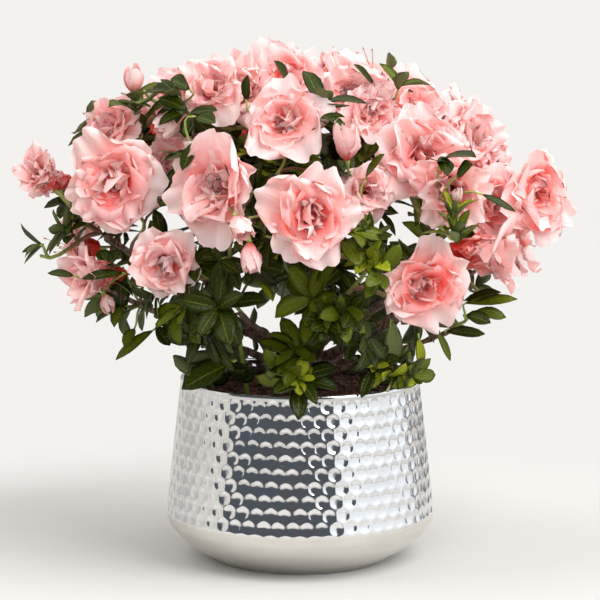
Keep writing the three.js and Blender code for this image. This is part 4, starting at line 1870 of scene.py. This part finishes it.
@dataclass
class PottingMix:
    """The mix in the planter, crumbly on top, with loose chips of bark."""

    columns: int = 160
    rings: int = 44
    crumb: float = 0.0014
    dome: float = 0.0016
    fill: float = 0.889
    chips: int = 420
    chip_sizes: tuple = ((0.0012, 0.0034), (0.0008, 0.0020), (0.0003, 0.0008))

    def stations(self, radius: float, top: float) -> list:
        """Draws the plug's section, inside the planter from its floor to the mix's top.

        Args:
            radius: The mix's widest radius.
            top: The mix's height.

        Returns:
            Radius and height of each ring.
        """
        under = [(0.30, 0.006), (0.58, 0.0075), (0.78, 0.016), (0.93, 0.026), (0.975, 0.037)]
        wall = [(r * radius, z) for r, z in under]
        edge = self.fill * radius
        rings = [(edge * (1 - n / self.rings), top) for n in range(self.rings)]
        return wall + [(edge, top - 0.003)] + rings

    def build(self) -> list:
        """Makes the plug and its chips.

        Returns:
            The pieces.
        """
        low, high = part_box("potting_mix")
        radius, top = float(high[0]), float(high[2]) - 0.0015
        plug = turned("mix_surface", self.stations(radius, top), self.columns)
        points = points_of(plug)
        for index in np.flatnonzero(points[:, 2] > top - 0.0005):
            place = Vector(points[index])
            lump = noise.noise(place * 160) + 0.6 * noise.noise(place * 420)
            away = math.hypot(place.x, place.y) / (self.fill * radius)
            points[index, 2] += self.crumb * lump + self.dome * (1 - away**2) - self.dome / 2 * away**6
        move_points(plug, points)
        outward_and_smooth(plug, 60)
        finish = Crumbs().material()
        plug.data.materials.append(finish)
        made = [declare(plug, ["potting_mix"])]
        chips = self.chip_sheaf(radius * 0.87, top).piece("bark_chips", finish)
        chips.data.shade_flat()
        made.append(declare(chips, []))
        return made

    def chip_sheaf(self, radius: float, top: float) -> Sheaf:
        """Scatters flat chips over the mix.

        Args:
            radius: How far from the middle they lie.
            top: The mix's height.

        Returns:
            The chips.
        """
        rng = seeded(11)
        block = np.array([[x, y, z] for z in (-1, 1) for y in (-1, 1) for x in (-1, 1)], dtype=float)
        flats = [[0, 2, 3, 1], [4, 5, 7, 6]]
        sides = [[0, 1, 5, 4], [2, 6, 7, 3], [0, 4, 6, 2], [1, 3, 7, 5]]
        places = cell_place(np.full((6, 4), 0.5), np.full((6, 4), 0.5), 0, 0)
        sheaf = Sheaf()
        for _ in range(self.chips):
            away, bearing = radius * math.sqrt(rng.random()), rng.uniform(0, 2 * math.pi)
            size = np.array([rng.uniform(*span) for span in self.chip_sizes])
            shape = block * size * rng.uniform(0.6, 1.25, (8, 3))
            turn = turned_to(unit(rng.normal(0, 0.35, 3) + UP), rng.uniform(0, 6))
            lift = top + self.dome * (1 - (away / radius) ** 2) + 0.0006
            centre = np.array([away * math.cos(bearing), away * math.sin(bearing), lift])
            sheaf.add(shape @ turn.T + centre, np.array(flats + sides), places)
        return sheaf


# ------------ Limbs


@dataclass
class Limbs:
    """The stem, the boughs and the green shoot, refined from copies of their CAD solids."""

    relief: float = 0.00055
    grain: float = 260.0

    def refined(self, name: str, nodes: list, levels: int) -> bpy.types.Object:
        """Copies CAD solids into one finer mesh.

        Args:
            name: The piece's name.
            nodes: The solids' nodes.
            levels: How often the mesh is divided.

        Returns:
            The object.
        """
        bpy.ops.object.select_all(action="DESELECT")
        for node in nodes:
            copy = bpy.data.objects.new(name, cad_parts[node].data.copy())
            copy.data.materials.clear()
            bpy.context.scene.collection.objects.link(copy)
            copy.select_set(True)
            bpy.context.view_layer.objects.active = copy
        if len(nodes) > 1:
            bpy.ops.object.join()
        piece = bpy.context.view_layer.objects.active
        piece.name = piece.data.name = name
        bpy.ops.object.mode_set(mode="EDIT")
        bpy.ops.mesh.select_all(action="SELECT")
        bpy.ops.mesh.remove_doubles(threshold=1e-5)
        bpy.ops.mesh.tris_convert_to_quads()
        bpy.ops.object.mode_set(mode="OBJECT")
        rounding = piece.modifiers.new("rounding", "SUBSURF")
        rounding.levels = rounding.render_levels = levels
        bpy.ops.object.modifier_apply(modifier=rounding.name)
        bpy.ops.object.shade_smooth()
        return piece

    def roughen(self, piece: bpy.types.Object, depth: float) -> None:
        """Raises bark relief on a mesh, along its normals.

        Args:
            piece: The limb.
            depth: The relief's height.
        """
        points = points_of(piece)
        normals = np.empty(len(points) * 3, dtype=np.float32)
        piece.data.vertex_normals.foreach_get("vector", normals)
        for index, normal in enumerate(normals.reshape(-1, 3)):
            x, y, z = points[index]
            place = Vector((x, y, z * 0.35)) * self.grain
            lump = noise.noise(place) + 0.5 * noise.noise(place * 2.7)
            points[index] += normal * (depth * lump + depth * 0.5)
        move_points(piece, points)

    def build(self) -> list:
        """Makes the limbs.

        Returns:
            The pieces.
        """
        bark = Bark().material()
        boughs = [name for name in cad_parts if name.startswith("bough_")]
        made = []
        for name, nodes, levels, depth in (
            ("stem_bark", ["main_stem"], 4, self.relief * 1.6),
            ("bough_bark", boughs, 3, self.relief),
        ):
            piece = self.refined(name, nodes, levels)
            self.roughen(piece, depth)
            piece.data.materials.append(bark)
            made.append(declare(piece, nodes))
        shoot = self.refined("green_shoot_skin", ["green_shoot"], 2)
        shoot.data.materials.append(GreenStem().material())
        made.append(declare(shoot, ["green_shoot"]))
        return made


@dataclass(frozen=True)
class GreenStem:
    """The smooth yellow-green skin of a young shoot."""

    low: tuple = (0.13, 0.20, 0.035)
    high: tuple = (0.30, 0.40, 0.08)

    def material(self) -> bpy.types.Material:
        """Makes the finish.

        Returns:
            The material.
        """
        material, graph = new_finish("green_stem")
        place = graph.object_place()
        height = graph.parts(place)[2]
        mottle = graph.noise(place, 300.0, 3.0)
        body = graph.blend(graph.ease(height, 0.12, 0.18), self.low, self.high)
        body = graph.blend(graph.ease(mottle, 0.5, 0.75) * 0.3, body, (0.18, 0.12, 0.04))
        normal = graph.bump(mottle, 0.0002)
        surface(graph, {"Base Color": body, "Roughness": 0.45, "Normal": normal})
        return material


# ------------ Studio


@dataclass
class Studio:
    """The pale floor, the soft light round it and the camera."""

    elevation: float = 8.5
    distance: float = 2.2
    lens: float = 187.2
    aim_height: float = 0.1839
    floor_radius: float = 0.62
    floor_edge: tuple = (0.26, 0.46)
    dark_start: tuple = (-72.0, -66.0)
    dark_end: tuple = (30.0, 34.0)
    dark_foot: tuple = (-0.11, -0.05)
    dark_head: tuple = (0.80, 0.90)
    figure_place: tuple = ((-16.0, -12.0), (-8.0, -4.0))
    dark_colour: tuple = (0.090, 0.104, 0.122)
    figure_colour: tuple = (0.135, 0.090, 0.108)
    floor_colour: tuple = (0.545, 0.538, 0.524)
    lamp_colour: tuple = (1.0, 0.985, 0.965)
    backdrop: tuple = (0.900, 0.885, 0.858)
    lamp_distance: float = 2.2
    key_heading: tuple = (48.0, 44.0)
    key_size: float = 2.2
    key_power: float = 58.0
    fill_heading: tuple = (-6.0, 16.0)
    fill_size: float = 1.2
    fill_power: float = 15.0
    side_heading: tuple = (-80.0, 48.0)
    side_size: float = 2.0
    side_power: float = 22.0

    def camera(self) -> None:
        """Sets up the camera, level and a little above the plant's middle."""
        data = bpy.data.cameras.new("camera")
        data.lens = self.lens
        data.clip_end = 20.0
        camera = bpy.data.objects.new("camera", data)
        bpy.context.scene.collection.objects.link(camera)
        back = Vector(heading(0, self.elevation))
        camera.location = Vector((0, 0, self.aim_height)) + back * self.distance
        camera.rotation_euler = (math.radians(90 - self.elevation), 0, 0)
        bpy.context.scene.camera = camera

    def floor(self) -> None:
        """Lays a pale round floor that melts into the background."""
        bpy.ops.object.select_all(action="DESELECT")
        bpy.ops.mesh.primitive_circle_add(vertices=96, radius=self.floor_radius, fill_type="NGON")
        floor = bpy.context.object
        floor.name = "floor"
        material, graph = new_finish("floor")
        x, y, _ = graph.parts(graph.object_place())
        away = graph.add("ShaderNodeMath", {"operation": "SQRT"}, {0: x * x + y * y})
        board = graph.add("ShaderNodeBsdfDiffuse", {}, {"Color": (*self.floor_colour, 1.0)})
        clear = graph.add("ShaderNodeBsdfTransparent", {}, {})
        fade = graph.ease(away, *self.floor_edge)
        mixed = graph.add("ShaderNodeMixShader", {}, {0: fade, 1: board, 2: clear})
        graph.add("ShaderNodeOutputMaterial", {}, {"Surface": mixed})
        floor.data.materials.append(material)

    def light(self) -> None:
        """Makes the surroundings: soft boxes left and right, a dark side behind the camera."""
        world = bpy.data.worlds.new("studio")
        world.use_nodes = True
        graph = Graph(world.node_tree)
        x, y, z = graph.parts(graph.add("ShaderNodeTexCoord", {}, {}, "Generated"))
        around = graph.add("ShaderNodeMath", {"operation": "ARCTAN2"}, {0: x, 1: y * -1.0})
        degrees = around * (180 / math.pi)
        dark = graph.window(degrees, self.dark_start, self.dark_end)
        dark = dark * graph.window(z, self.dark_foot, self.dark_head)
        right = graph.window(degrees, (30, 36), (112, 124))
        left = graph.window(degrees, (-150, -136), (-74, -68))
        rise = graph.ease(z, -0.05, 0.3)
        sky = graph.blend(right, (0.80, 0.78, 0.74), (1.02, 1.06, 1.09))
        sky = graph.blend(right * rise, sky, (1.24, 1.30, 1.35))
        folds = graph.add("ShaderNodeMath", {"operation": "SINE"}, {0: degrees * 0.40 + z * 9.0})
        wall = graph.blend(graph.ease(degrees, -128, -78), (0.56, 0.545, 0.52), (0.90, 0.87, 0.80))
        wall = graph.blend(graph.ease(folds, -1, 1) * 0.30, wall, (0.46, 0.46, 0.46))
        sky = graph.blend(left, sky, wall)
        behind = graph.ease(degrees, 146, 156) + (1 - graph.ease(degrees, -166, -156))
        sky = graph.blend(behind * (1 - graph.ease(z, 0.35, 0.6)) * 0.75, sky, (0.30, 0.31, 0.33))
        sky = graph.blend(graph.ease(z, 0.75, 0.95), sky, (1.55, 1.53, 1.50))
        slit = graph.window(degrees, (114, 118), (124, 130)) * 0.75
        edge = graph.window(degrees, (134, 138), (150, 156)) * 0.85
        sky = graph.blend((slit + edge) * (1 - graph.ease(z, 0.5, 0.7)), sky, (0.12, 0.135, 0.16))
        sky = graph.blend(graph.ease(z, -0.20, -0.08), (0.74, 0.72, 0.67), sky)
        figure = graph.window(degrees, *self.figure_place) * 0.7
        shade = graph.blend(figure, self.dark_colour, self.figure_colour)
        sky = graph.blend(dark, sky, shade)
        seen = graph.add("ShaderNodeLightPath", {}, {}, "Is Camera Ray")
        shown = graph.blend(seen, sky, self.backdrop)
        lamp = graph.add("ShaderNodeBackground", {}, {"Color": shown, "Strength": 1.0})
        graph.add("ShaderNodeOutputWorld", {}, {"Surface": lamp})
        bpy.context.scene.world = world

    def lamp(self, name: str, aim: tuple, size: float, power: float, glossy: bool) -> None:
        """Hangs a broad soft lamp.

        Args:
            name: The lamp's name.
            aim: The azimuth and elevation it shines from.
            size: How wide it is.
            power: Its power in watts.
            glossy: Whether it shows as a highlight.
        """
        data = bpy.data.lights.new(name, "AREA")
        data.shape = "DISK"
        data.size = size
        data.energy = power
        data.color = self.lamp_colour
        lamp = bpy.data.objects.new(name, data)
        bpy.context.scene.collection.objects.link(lamp)
        away = Vector(heading(*aim))
        lamp.location = Vector((0, 0, self.aim_height)) + away * self.lamp_distance
        lamp.rotation_mode = "QUATERNION"
        lamp.rotation_quaternion = away.to_track_quat("Z", "Y")
        lamp.visible_glossy = glossy

    def build(self) -> None:
        """Sets up the studio."""
        self.camera()
        self.floor()
        self.light()
        self.lamp("key", self.key_heading, self.key_size, self.key_power, True)
        self.lamp("fill", self.fill_heading, self.fill_size, self.fill_power, False)
        self.lamp("side", self.side_heading, self.side_size, self.side_power, False)
        bpy.context.scene.view_settings.view_transform = "Standard"
        log.info("studio: camera, floor and soft light")


def main() -> None:
    """Builds the studio, the planter, the limbs and the crown."""
    logging.basicConfig(level=logging.INFO, format="%(message)s")
    Studio().build()
    for part in (Planter(), PottingMix(), Limbs()):
        part.build()
    crown = Crown()
    crown.read()
    crown.limbs()
    crown.set_blooms()
    crown.set_leaves()
    crown.flower_shoots()
    crown.leafy_shoots()
    crown.prune()
    log.info("%d blooms, %d leaves", len(crown.blooms), len(crown.leaves))
    crown.pieces()


if __name__ == "__main__":
    main()
